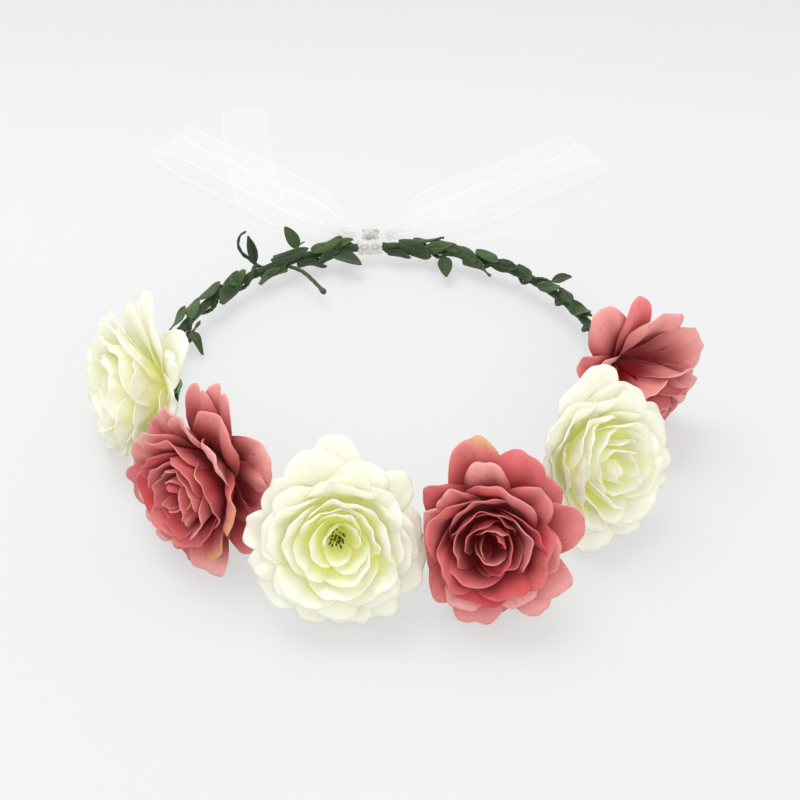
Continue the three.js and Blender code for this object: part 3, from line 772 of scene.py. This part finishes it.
def calyxAndStem(name):
    # a green cup under the petals, rippled five ways near its rim, and the wired stem that holds it to the
    # band
    seat, ways = headOf(name)
    cloth = Cloth(name + "_sepalCup")
    profile = spline(calyx["profile"], calyx["rows"])
    around = np.arange(calyx["sides"]) * 2 * pi / calyx["sides"]
    ripple = 1 + 0.035 * np.cos(5 * around)[None] * smooth(1, 5, profile[:, 1])[:, None]
    out = profile[:, 0][:, None] * ripple
    points = np.stack([out * np.cos(around), out * np.sin(around),
                       np.broadcast_to(profile[:, 1][:, None], out.shape)], -1)
    world = seat + points.reshape(-1, 3) @ ways
    flat = np.stack(np.broadcast_arrays(around[None] * 4, profile[:, 1][:, None] * 3), -1)
    cloth.tube(world.reshape(points.shape), flat, (profile[:, 1][:, None] / 6, 0.0, 0.3, 0.0, 0.0),
               seat + np.outer(profile[:, 1], ways[2]), ((0, 0, 0.3, 0, 0), (1, 0, 0.3, 0, 0)))
    anchor = anchors[name]
    way = (seat - anchor) / np.linalg.norm(seat - anchor)
    path = np.linspace(anchor + way * calyx["stemStart"], seat + ways[2] * 0.6, 12)
    tubeAlong(cloth, path, calyx["stemRadius"], sides=12, tone=0.2, twist=0.6, lobes=2, lobeDepth=0.12)
    return cloth.make(sepalGreen, name, (name + "_calyx",))


sepalShape = {
    "reach": 9.5, "height": 4.4, "width": 5.2, "bend": -34, "cup": 40, "curl": -10, "root": 3.4, "base": 1.8,
    "drop": 0.75, "waist": 0.8, "ruffle": 0.02, "side": 0.0,
}


def sepals(name):
    rng = random.Random(name + "sepals")
    group = []
    for i in range(5):
        petal(group, rng, at=i * 72 + 20 + rng.uniform(-8, 8), tone=rng.uniform(0.2, 0.7), **sepalShape)
    seat, ways = headOf(name)
    cloth = Cloth(name + "_sepals")
    for points, flat, marks in group:
        world = keepClear(seat + points.reshape(-1, 3) @ ways, name)
        cloth.grid(world.reshape(points.shape), flat, marks)
    return cloth.make(sepalGreen, name, (), 0.4)


def woundTape(cloth, pathAt, radius, pitch, ridge, rows, sides):
    # tape wound on a core: each turn steps up on the last one
    t = np.linspace(0, 1, rows)
    centre = pathAt(t)
    way, length = run(centre)
    side = np.cross(way, hoopNormal)
    side /= np.linalg.norm(side, axis=1)[:, None]
    up = np.cross(side, way)
    around = np.arange(sides) / sides
    turn = (length[:, None] / pitch + around[None]) % 1.0
    step = smooth(0.0, 0.12, turn) * (1 - turn) * ridge
    crinkle = 0.05 * np.sin(around[None] * 2 * pi * 5 + length[:, None] * 1.3) \
        + 0.04 * np.sin(around[None] * 2 * pi * 3 - length[:, None] * 2.1)
    reach = radius + step + crinkle
    angle = around[None] * 2 * pi
    points = centre[:, None] + side[:, None] * (reach * np.cos(angle))[..., None] \
        + up[:, None] * (reach * np.sin(angle))[..., None]
    flat = np.stack(np.broadcast_arrays(around[None] * 2 * pi * radius, length[:, None]), -1)
    marks = (0.0, smooth(0.8, 1.0, 1 - turn), 0.25 + 0.3 * turn, 0.0, 0.0)
    cloth.tube(points, flat, marks, centre, ((0, 0, 0.2, 0, 0),) * 2, outward=True)


tieLength = 8
tieTurns = {"radius": 2.95, "pitch": 2.1, "ridge": 0.3, "rows": 44, "sides": 26}


def tapeTie(name):
    cloth = Cloth(name + "_tapeWrap")
    along = alongOf(name)
    woundTape(cloth, lambda t: anchors[name] + np.outer((t - 0.5) * tieLength, along), **tieTurns)
    return cloth.make(tapeGreen, name, (name + "_tie",))


for flowerName in flowerNames:
    calyxAndStem(flowerName)
    sepals(flowerName)
    tapeTie(flowerName)
print("calyxes, sepals and ties made")


# The six flowers. Each list gives the petals that show: at (0 right, 90 up), reach, height, width.

def shapes(common, *rows):
    keys = ("at", "reach", "height", "width")
    return [{**common, **dict(zip(keys, row[:4])), **(row[4] if len(row) > 4 else {})} for row in rows]


coralOuter = {"bend": 12, "cup": 96, "curl": 30, "side": 0.1, "ruffle": 0.03, "depthShade": 1.2,
              "dark": (0.2, 0.94)}
coralMiddle = {"bend": -24, "cup": 100, "curl": 52, "side": 0.12, "ruffle": 0.03, "depthShade": 1.1,
               "dark": (0.3, 0.9)}
creamOuter = {"bend": 14, "cup": 72, "curl": 26, "side": 0.08, "ruffle": 0.04, "depthShade": 0.55,
              "dark": (0.1, 0.7)}
creamMiddle = {"bend": -20, "cup": 84, "curl": 40, "side": 0.1, "ruffle": 0.035, "depthShade": 0.8,
               "dark": (0.15, 0.8)}


def coralFront():
    outer = shapes(
        coralOuter,
        (101, 37, 23, 24, {"tint": 1.0, "bend": 10}), (70, 34, 24, 26), (13, 33, 24, 25, {"tint": 0.6}),
        (-36, 33, 22, 22, {"tone": 0.8}), (-52, 34, 18, 20), (-93, 32, 21, 25, {"notch": 0.05}),
        (-86, 34, 15, 24), (-131, 33, 22, 19, {"cup": 85}), (-152, 30, 19, 22), (172, 29, 21, 20),
        (140, 32, 24, 19, {"curl": 10, "cup": 30}), (40, 30, 15, 22),
        (178, 33, 10, 26, {"cup": 60}), (-160, 33, 11, 22, {"cup": 60}),
    )
    middle = shapes(
        coralMiddle,
        (90, 28, 28, 19, {"cup": 95, "tone": 0.9}), (38, 25, 27, 22), (-10, 24, 28, 21), (-62, 24, 27, 22),
        (-112, 24, 27, 21, {"tone": 0.9}), (166, 23, 27, 20, {"cup": 95, "tone": 0.9}), (128, 22, 28, 17),
    )
    rosePetals("coral_front", 11, outer, middle, {"start": 30})


def coralLeft():
    outer = shapes(
        coralOuter,
        (106, 38, 16, 20, {"cup": 70, "notch": 0.06}), (88, 40, 14, 18, {"cup": 80, "notch": 0.08}),
        (76, 35, 22, 27, {"cup": 85, "side": 0.16}), (130, 31, 24, 19, {"tone": 0.9}),
        (45, 34, 10, 28, {"cup": 95}),
        (14, 33, 11, 26, {"cup": 90}), (-22, 32, 16, 24), (-64, 34, 25, 26),
        (-90, 32, 24, 24, {"tint": 0.7}),
        (-120, 34, 25, 24, {"tint": 0.9}), (-148, 34, 26, 24), (-172, 32, 25, 25), (158, 30, 20, 22),
    )
    middle = shapes(
        coralMiddle,
        (100, 27, 29, 22, {"tone": 0.8}), (58, 26, 29, 24, {"cup": 95, "tone": 0.9}),
        (10, 25, 29, 25, {"tint": 0.9}),
        (-45, 25, 29, 22, {"tint": 1.0}), (-100, 25, 29, 23), (-150, 25, 29, 22),
        (155, 25, 29, 23, {"tone": 0.9}),
    )
    rosePetals("coral_left", 23, outer, middle, {"start": 80, "rim": 16.5})


def coralRight():
    outer = shapes(
        {**coralOuter, "depthShade": 1.0},
        (110, 38, 6, 19, {"bend": 44, "cup": 40}), (88, 36, 11, 17, {"bend": 40, "cup": 44, "tone": 0.1}),
        (68, 33, 20, 27, {"cup": 80, "side": 0.14}), (137, 35, 13, 15, {"cup": 70, "tone": 1.0}),
        (150, 28, 9, 16, {"curl": 60}),
        (28, 31, 24, 26, {"cup": 60, "tone": 0.9}), (2, 33, 22, 25, {"tone": 0.8}),
        (-30, 31, 26, 22, {"tint": 1.0}),
        (-66, 33, 22, 22, {"tint": 0.9}), (-95, 33, 22, 22), (-130, 30, 18, 20), (176, 27, 16, 20),
    )
    middle = shapes(
        {**coralMiddle, "shift": (2.5, -7.0)},
        (62, 24, 30, 24, {"tone": 0.9, "curl": 62}), (100, 22, 29, 20, {"cup": 105}),
        (20, 23, 31, 24, {"tone": 0.9}),
        (-30, 22, 30, 20), (-80, 21, 30, 20), (-135, 21, 29, 19), (160, 20, 29, 18, {"tint": 0.7}),
    )
    heart = {"start": 10, "rim": 15.5, "top": 33, "aside": (2.5, -8.0)}
    rosePetals("coral_right", 37, outer, middle, heart, (2, -22), pinkPetal)


def creamFront():
    outer = shapes(
        creamOuter,
        (106, 34, 23, 28), (70, 31, 25, 25), (40, 36, 21, 20, {"tint": 0.4}), (3, 32, 24, 26),
        (-32, 33, 21, 21),
        (-61, 32, 22, 23, {"tint": 0.8}), (-86, 31, 22, 23), (-102, 34, 15, 28, {"tint": 0.9}),
        (-138, 33, 21, 24, {"tint": 0.8}), (-165, 31, 23, 20), (166, 33, 22, 20),
        (142, 31, 22, 22, {"tint": 0.4}),
        (88, 36, 12, 22), (0, 34, 12, 28, {"cup": 50, "tint": 0.5}), (-20, 34, 12, 24, {"cup": 50}),
    )
    middle = shapes(
        creamMiddle,
        (172, 25, 29, 25, {"tone": 0.9}), (-130, 25, 27, 24, {"tone": 0.9}),
        (-97, 25, 29, 24, {"tone": 1.0}),
        (-52, 25, 29, 24, {"tone": 0.9}), (-8, 25, 29, 25), (38, 25, 30, 24),
        (84, 25, 30, 26, {"tint": 0.5}),
        (128, 25, 29, 24),
    )
    creamPetals("cream_front", 41, outer, middle, {"start": 20, "off": (0.6, 0.4), "top": 33})


def creamLeft():
    outer = shapes(
        {**creamOuter, "bend": 16},
        (145, 31, 26, 23), (116, 34, 21, 24), (95, 34, 16, 22), (74, 31, 6, 24, {"cup": 70}),
        (52, 32, 12, 20),
        (170, 33, 27, 24), (-165, 33, 27, 23), (-138, 34, 27, 24), (-108, 33, 25, 24), (-80, 31, 25, 23),
        (-50, 32, 24, 22), (-15, 29, 17, 24), (20, 29, 12, 22), (130, 37, 12, 20), (-125, 35, 16, 24),
    )
    middle = shapes(
        {**creamMiddle, "curl": 50},
        (135, 25, 31, 22), (92, 25, 30, 23), (50, 24, 29, 22), (5, 24, 29, 23), (-40, 24, 29, 22),
        (-85, 25, 31, 23), (-130, 25, 32, 22), (178, 25, 32, 23),
    )
    creamPetals("cream_left", 53, outer, middle, {"start": 70, "top": 35, "rim": 17})


def creamRight():
    outer = shapes(
        creamOuter,
        (110, 39, 21, 34, {"cup": 66}), (134, 41, 19, 34, {"cup": 60}), (78, 35, 22, 30),
        (156, 40, 15, 30, {"cup": 56}),
        (46, 31, 24, 26), (14, 31, 25, 25), (-22, 30, 26, 26), (-58, 31, 24, 24),
        (-80, 31, 24, 23, {"tint": 0.5}),
        (-104, 33, 23, 25), (-122, 34, 21, 22), (-150, 28, 19, 22, {"tint": 0.5}), (-178, 30, 14, 24),
    )
    middle = shapes(
        {**creamMiddle, "depthShade": 1.0},
        (116, 27, 28, 27, {"cup": 60, "curl": 10}), (60, 26, 31, 30, {"cup": 88}),
        (15, 25, 32, 29, {"cup": 88}),
        (-30, 25, 31, 26), (-78, 24, 30, 24), (-125, 23, 29, 22), (168, 23, 28, 22, {"cup": 90}),
    )
    heart = {"layers": heartLayers, "start": 150, "off": (2.6, -1.2)}
    creamPetals("cream_right", 67, outer, middle, heart, (6, -4))


for makeFlower in (creamLeft, coralLeft, creamFront, coralFront, creamRight, coralRight):
    makeFlower()
print("six flowers made")


# The band: tape wound on the wire, and the garland's twisted stem round it.

tapeEnds = (-171.57, 181.57)  # azimuths
bandTurns = {"radius": 1.72, "pitch": 5.5, "ridge": 0.28, "rows": 620, "sides": 18}
garland = {
    "offset": 2.95, "pitch": 21, "thick": 0.98, "surface": 3.3,
    "left": (-170.8, -89), "right": (92, 180.8),  # azimuths of its ends
}


def bandTape():
    cloth = Cloth("bandTape")
    first, last = tapeEnds
    woundTape(cloth, lambda t: onHoop(first + (last - first) * t), **bandTurns)
    return cloth.make(tapeGreen, rootBody, ("stem_tape",))


def garlandStem(side):
    s = garland
    first, last = s[side]
    count = 260
    azimuth = np.linspace(first, last, count)
    turn = 2 * pi * np.radians(azimuth) * hoopRadius / s["pitch"]
    path = onHoop(azimuth, s["offset"] * np.cos(turn), s["offset"] * np.sin(turn))
    cloth = Cloth("garlandTwist_" + side)
    tubeAlong(cloth, path, s["thick"] * (1 + 0.12 * np.sin(np.arange(count) * 0.35)), sides=14, tone=0.25,
              twist=1.1, lobes=3, lobeDepth=0.22)
    return cloth.make(stemGreen, rootBody, ("garland_stem_" + side,))


bandTape()
garlandStem("left")
garlandStem("right")


def growth(near, around, lean):
    # the frame of what grows from the garland: away from it, across, and its upper side
    turnsAtZero = radians(1) * hoopRadius / garland["pitch"]
    azimuth = (round(near * turnsAtZero - around / 360) + around / 360) / turnsAtZero
    outward = sin(radians(azimuth)) * hoopX - cos(radians(azimuth)) * hoopY
    away = outward * cos(radians(around)) + hoopNormal * sin(radians(around))
    root = onHoop(azimuth) + away * garland["surface"]
    way = away * cos(radians(lean)) + alongHoop(azimuth) * sin(radians(lean))
    top = hoopNormal - way * (hoopNormal @ way)
    top /= np.linalg.norm(top)
    return root, np.array([way, np.cross(top, way), top])


leafShape = {"length": 17, "width": 9, "rows": 22, "columns": 13, "thick": 0.35, "droop": 0.12}


def leaf(cloth, rng, near, around, lean, size, fold=0.28, curlTip=0.0, slim=1.0):
    s = leafShape
    length, half = s["length"] * size, s["width"] * size / 2 * slim
    t = np.linspace(0, 1, s["rows"])[:, None]
    u = np.linspace(-1, 1, s["columns"])[None, :]
    phase = rng.uniform(0, 6.28)
    outline = np.maximum(0.09, np.sin(pi * np.clip(t * 1.02 - 0.06, 0, 1) ** 0.8) ** 0.85)
    outline = outline * np.where(t > 0.97, (1 - t) / 0.03 * 0.8 + 0.2, 1)
    x = t * length * (1 - 0.02 * np.abs(u))
    y = u * half * outline
    z = np.abs(y) * fold - s["droop"] * x * x / length + 0.25 * np.sin(5 * t + phase) * np.abs(u) * size
    z = z + curlTip * length * smooth(0.6, 1.0, t) * (x / length) ** 2
    z = z + 0.12 * np.sin(9 * t * u + phase)
    angle = rng.uniform(-0.2, 0.2) * t
    y, z = y * np.cos(angle) - z * np.sin(angle), y * np.sin(angle) + z * np.cos(angle)
    root, ways = growth(near, around, lean)
    local = np.stack([x + 0 * u, y, z], -1)
    points = root + local.reshape(-1, 3) @ ways
    points[:, 2] += pressed(-points[:, 2], *clear["leaf"])
    flat = np.stack([u * half * outline, x + 0 * u], -1)
    rim = np.abs(u) ** 4 * np.ones_like(t)
    cloth.grid(points.reshape(local.shape), flat, (t, rim, rng.uniform(0.0, 0.6), 0.0, 0.0))


def wrappedLeaf(cloth, rng, near, around, way, length, width, wind, lift=1.6):
    # a leaf pressed round the twisted stems: way is which way its tip points along the band
    s = leafShape
    t = np.linspace(0, 1, s["rows"])[:, None]
    u = np.linspace(-1, 1, s["columns"])[None, :]
    outline = np.sin(pi * np.clip(t * 0.93 + 0.07, 0, 1) ** 0.9) ** 0.8
    half = width / 2 * outline
    wave = rng.uniform(0, 6.28)
    reach = 4.15 + lift * smooth(0.35, 1.0, t) ** 2 + 0.5 * u * u * t + 0.18 * np.sin(7 * t + 3 * u + wave)
    reach = reach - 0.3 * np.exp(-(u / 0.12) ** 2)
    angle = np.radians(around + wind * t + 8 * np.sin(3 * t + wave)) + u * half / 4.3
    azimuth = near + way * np.degrees(t * length / hoopRadius) + 0 * u
    points = onHoop(azimuth, reach * np.cos(angle), reach * np.sin(angle))
    points[..., 2] += pressed(-points[..., 2], *clear["leaf"])
    flat = np.stack([u * half, t * length + 0 * u], -1)
    cloth.grid(points, flat, (t, np.abs(u) ** 4 * np.ones_like(t), rng.uniform(0.0, 0.75), 0.0, 0.0))


# leaves that stand off: name, place near, way round the band, lean along it, size, and what bends it
namedLeaves = (
    ("left_front", -108, 190, 30, 0.5, {"curlTip": -0.9}),
    ("left_spike", -136, 60, -8, 0.8, {"fold": 1.1, "slim": 0.6}),
    ("left_top", -156, 50, 12, 0.72, {}), ("left_end", -163, 176, -52, 0.86, {"slim": 1.15}),
    ("right_low", 163, 186, -20, 0.72, {}), ("right_outer", 137, 30, -38, 0.56, {"slim": 1.25}),
)
# leaves that lie along the band: name, root, way round it, way along it, length, width, winding
pressedLeaves = (
    ("left_low", -134, 150, 1, 16, 8.4, 20), ("left_inner", -150, 205, 1, 17, 8.6, -10),
    ("right_end", 177, 120, -1, 16, 8.6, 55), ("right_top", 173, 80, -1, 13, 7.4, -30),
    ("right_inner", 158, 200, -1, 15, 8.6, 10),
)
for name, *shape in namedLeaves + pressedLeaves:
    cloth = Cloth("clothLeaf_" + name)
    if isinstance(shape[-1], dict):
        leaf(cloth, random.Random(name), *shape[:-1], **shape[-1])
    else:
        wrappedLeaf(cloth, random.Random(name), *shape)
    cloth.make(leafGreen, rootBody, ("leaf_" + name,), leafShape["thick"])

# the smaller leaves wound in with the stems
closeLeaves = (
    (-101, 100, 1, 12, 5.6, 30), (-107, 40, -1, 13, 5.6, 25), (-113, 110, -1, 13, 6.0, -35),
    (-116, 200, 1, 11, 5.4, 20),
    (-121, 60, -1, 13, 6.0, 30), (-128, 130, -1, 12, 5.6, -45), (-138, 80, 1, 12, 6.0, 40),
    (-141, 170, -1, 14, 6.4, -30),
    (-146, 100, -1, 18, 6.4, 15), (-148, 40, -1, 15, 5.6, 20), (-153, 190, -1, 14, 6.4, 15),
    (-158, 120, -1, 15, 6.6, -30),
    (-161, 70, -1, 15, 6.6, 20), (-166, 150, 1, 12, 6.2, 30),
    (180, 190, -1, 11, 6.2, 20), (170, 150, -1, 14, 6.4, -50), (167, 90, -1, 13, 6.2, 30),
    (162, 120, -1, 14, 6.2, 25),
    (155, 90, -1, 13, 5.6, 40), (149, 150, -1, 13, 5.4, -40), (142, 100, -1, 12, 5.4, 30),
    (133, 140, -1, 12, 5.4, -30),
    (127, 70, -1, 12, 5.6, 40), (120, 130, -1, 12, 5.4, -35), (113, 80, 1, 11, 5.4, 30),
    (108, 140, -1, 12, 5.4, 20),
    (101, 60, -1, 11, 5.2, 30),
)
rng = random.Random(5)
for side, sign in (("left", -1), ("right", 1)):
    cloth = Cloth("closeLeaves_" + side)
    for shape in closeLeaves:
        if shape[0] * sign > 0:
            wrappedLeaf(cloth, rng, *shape, lift=rng.uniform(0.2, 2.4))
    cloth.make(leafGreen, rootBody, (), leafShape["thick"])


def sprig(name, node, place, knots, radius, **surface):
    # a bare stem that grows from the garland at a place, through a few knots
    root, ways = growth(*place)
    cloth = Cloth(name)
    tubeAlong(cloth, root + spline(knots, len(radius)) @ ways, radius, sides=12, **surface)
    return cloth.make(stemGreen, rootBody, (node,))


sprig("curledTendril", "tendril", (-145, 35, 5),
      [(0, 0, 0), (3, 1, 0.6), (7, 3.4, 1.6), (11, 3.6, 3), (14, 1, 4.4), (14.4, -2.4, 5)],
      np.linspace(1.15, 0.5, 44), tone=0.2, twist=0.8, lobes=2, lobeDepth=0.25)
sprig("cutTwigStem", "cut_twig", (-146, 178, -18), [(0, 0, 0), (8, 1, 0), (16, 0, -1.2), (24, -2, -2)],
      [0.95] * 34 + [1.0, 1.2, 1.4, 1.5, 1.45, 1.3], tone=0.5, twist=0.5, lobes=3, lobeDepth=0.15)
wireNode = frame["nodes"]["wire_core"]
wireNode.data.materials.clear()
wireNode.data.materials.append(drawnWire)
print("band, garland and leaves made")


# The ribbon: a wrap round the two band ends, a knot, two loops and two tails of sheer organza.

ribbon = {
    "width": 24.5, "loop": 121, "rows": 110, "columns": 15, "root": 6,
    "neck": 7, "flare": 34, "tailNeck": 6, "tailWidth": 22, "tailFlare": 0.4,
    "loops": (("left", -1, 141.5), ("right", 1, 33.5)),  # side and heading
}
knotPlace = jointPlace("bow_swing")


def strip(name, points, widthAt, across, node, seed, ripple=1.0):
    # a strip of ribbon along points, gathered where it is narrow
    s = ribbon
    rng = random.Random(seed)
    phases = [rng.uniform(0, 6.28) for _ in range(5)]
    line = spline(points, s["rows"])
    way, length = run(line)
    if across is None:
        side = np.stack([-way[:, 1], way[:, 0], 0 * way[:, 0]], 1)
        side /= np.linalg.norm(side, axis=1)[:, None]
    else:
        side = np.broadcast_to(across, line.shape)
    face = np.cross(way, side)
    t = length / length[-1]
    u = np.linspace(-1, 1, s["columns"])
    width = np.array([widthAt(v) for v in t])
    gathered = 1 - width / s["width"]
    pleat = gathered[:, None] * 2.4 * np.cos(u[None] * pi * 3 + phases[0])
    wave = 0.55 * np.sin(length[:, None] / 9 + 1.6 * u[None] + phases[1]) \
        + 0.35 * np.sin(length[:, None] / 4.3 - 2.4 * u[None] + phases[2]) \
        + 0.5 * np.sin(length[:, None] / 17 + phases[3]) * u[None]
    lift = pleat + wave * ripple * (1 - gathered[:, None]) * smooth(0.0, 0.08, t)[:, None]
    half = width[:, None] / 2 * u[None]
    points3 = line[:, None] + side[:, None] * half[..., None] + face[:, None] * lift[..., None]
    points3[..., 2] += pressed(-points3[..., 2], *clear["ribbon"])
    flat = np.stack(np.broadcast_arrays(u[None] * s["width"] / 2, length[:, None]), -1)
    cloth = Cloth(name)
    cloth.grid(points3, flat, (t[:, None], np.abs(u)[None], 0.5, 0.0, 0.0))
    piece = cloth.make(sheerWhite, "bow", (node,))
    return piece


def loopSpread(t):
    s = ribbon
    out = min(t, 1 - t) * 2 * s["loop"]
    return s["neck"] + (s["width"] - s["neck"]) * float(smooth(0, s["flare"], out))


def tailSpread(t):
    s = ribbon
    return s["tailNeck"] + (s["tailWidth"] - s["tailNeck"]) * float(smooth(0, s["tailFlare"], t))


def bow():
    knotX, knotY, knotZ = knotPlace
    root, loop = ribbon["root"], ribbon["loop"]
    for name, side, heading in ribbon["loops"]:
        way = np.array([cos(radians(heading)), sin(radians(heading)), 0])
        across = np.array([-way[1], way[0], 0])
        profile = [(0, knotZ - 1.2), (14, knotZ - 2.4), (34, 3.6), (66, 2.6), (loop - 14, 2.8),
                   (loop - 2, 6.5), (loop - 10, 11.5), (72, 13.2), (34, 12.6), (14, 11.2), (0, knotZ + 1.2)]
        points = [(knotX + side * root + way[0] * out, knotY + way[1] * out, z) for out, z in profile]
        strip("organzaLoop_" + name, points, loopSpread, across, "bow_loop_" + name, 7 + side)
    tails = (
        ("left", -1, [(0, 0, 5), (-10, 7, 3.8), (-24, 14, 2.4), (-42, 26, 1), (-49, 48, 0.8),
        (-55, 80, 0.8),
                      (-59, 112, 0.8)]),
        ("right", 1, [(0, 0, 5), (10, 6, 3.8), (24, 12, 2.4), (42, 17, 1), (60, 19, 0.8), (78, 16, 0.8)]),
    )
    for name, side, route in tails:
        points = [(knotX + side * root + x, knotY + y, z) for x, y, z in route]
        strip("organzaTail_" + name, points, tailSpread, None, "bow_tail_" + name, 19 + side, 0.6)


openingAzimuth = -175
wrapLength = 10.2
wrapTurns = {"radius": 3.0, "pitch": 3.4, "ridge": 0.75, "rows": 60, "sides": 32}
knotTurns = ((0.0, 3.3), (0.5, 3.6), (-0.45, 3.5))  # the slant and the reach of each turn


def wrapAndKnot():
    # gathered turns of ribbon round the band's two ends, and the knot behind them
    along = alongHoop(openingAzimuth)
    centre = onHoop(openingAzimuth)
    cloth = Cloth("ribbonTurns")
    woundTape(cloth, lambda t: centre + np.outer((t - 0.5) * wrapLength, along), **wrapTurns)
    cloth.make(knotWhite, rootBody, ("ribbon_wrap",))
    cloth = Cloth("ribbonKnot")
    rows = 30
    a = np.linspace(0, 2 * pi, rows, endpoint=False)[:, None]
    b = a.T
    for k, (tilt, reach) in enumerate(knotTurns):
        fold = 1.3 + 0.25 * np.cos(3 * b + a * 2 + k) + 0.12 * np.cos(7 * b - a)
        ringOut = reach * 0.62 + fold * 0.5 * np.cos(b)
        x = fold * 1.5 * np.sin(b) + tilt * reach * np.cos(a)
        y, z = ringOut * np.cos(a), ringOut * np.sin(a)
        points = np.stack([x + 0 * y, y, z], -1) + knotPlace
        rowsClosed = np.concatenate([points, points[:1]])
        flat = np.stack(np.broadcast_arrays(b * 4, np.linspace(0, 20, rows + 1)[:, None]), -1)
        cloth.grid(rowsClosed, flat, (0.5, 0.0, 0.5, 0.0, 0.0), closed=True)
    cloth.make(knotWhite, rootBody, ("bow_knot",))


def floorAndLights():
    look, tree = newMaterial("paleTable")
    place = node(tree, "TexCoord", {}, (), "Object")
    grain = noiseOver(tree, place, 3.0, 2.0)
    base = mixColour(tree, grain, *studio["table"])
    depthAway = node(tree, "SeparateXYZ", {}, (place,), "Y")
    # painted shade: the table darker away from the camera, towards its back
    base = mixColour(tree, depthAway.band(0.1, 0.55) * 0.7, base, studio["tableFarShade"])
    # painted light: the table glows, less towards its back, so that the shadows on it stay faint
    glow = mixColour(tree, depthAway.band(0.12, 0.5), *studio["glow"])
    finishMaterial(tree, base, 0.6 + grain * 0.1,
                   **{"Specular IOR Level": 0.2, "Emission Color": glow,
                      "Emission Strength": studio["tableGlow"]})
    bpy.ops.mesh.primitive_plane_add(size=studio["tableSize"])
    floor = bpy.context.object
    floor.name = "floor"
    floor.data.materials.append(look)

    world = bpy.data.worlds.new("softStudio")
    bpy.context.scene.world = world
    world.use_nodes = True
    world.node_tree.nodes["Background"].inputs[0].default_value = (1, 1, 1, 1)
    world.node_tree.nodes["Background"].inputs[1].default_value = studio["sky"]
    for name, place, aim, size, power in studio["lamps"]:
        light = bpy.data.lights.new(name, "AREA")
        light.shape, light.size, light.energy = "DISK", size, power
        lamp = bpy.data.objects.new(name, light)
        bpy.context.scene.collection.objects.link(lamp)
        lamp.location = place
        lamp.rotation_mode = "QUATERNION"
        lamp.rotation_quaternion = (Vector(aim) - Vector(place)).to_track_quat("-Z", "Y")


studio = {
    # tableGlow and glow are painted light, a glowing table
    "sky": 1.0, "tableGlow": 0.5, "tableSize": 40,
    # the far colour is painted shade on the table's back
    "table": ((0.25, 0.25, 0.253), (0.26, 0.26, 0.263)), "tableFarShade": (0.21, 0.21, 0.212),
    "glow": ((1.0, 1.0, 1.0), (0.8, 0.8, 0.815)),  # near and far
    "lamps": (
        ("softBoxAbove", (-0.3, 0.35, 1.2), (0, 0, 0), 0.9, 8.5),
        ("softBoxFront", (0.25, -1.0, 1.0), (0, 0, 0), 0.9, 4.0),
    ),
}
camera = {"elevation": 43, "distance": 697, "lens": 76.5, "aim": (5.4, -0.6, 0)}


def setCamera():
    s = camera
    rise = radians(s["elevation"])
    back = Vector((0, -cos(rise), sin(rise)))
    data = bpy.data.cameras.new("view")
    data.lens = s["lens"]
    data.sensor_width = 36
    made = bpy.data.objects.new("view", data)
    bpy.context.scene.collection.objects.link(made)
    made.location = (Vector(s["aim"]) + back * s["distance"]) * mm
    made.rotation_mode = "QUATERNION"
    made.rotation_quaternion = (-back).to_track_quat("-Z", "Y")
    bpy.context.scene.camera = made
    bpy.context.scene.view_settings.view_transform = "Standard"


floorAndLights()
bow()
wrapAndKnot()
setCamera()
print("ribbon, table, lamps and camera made")
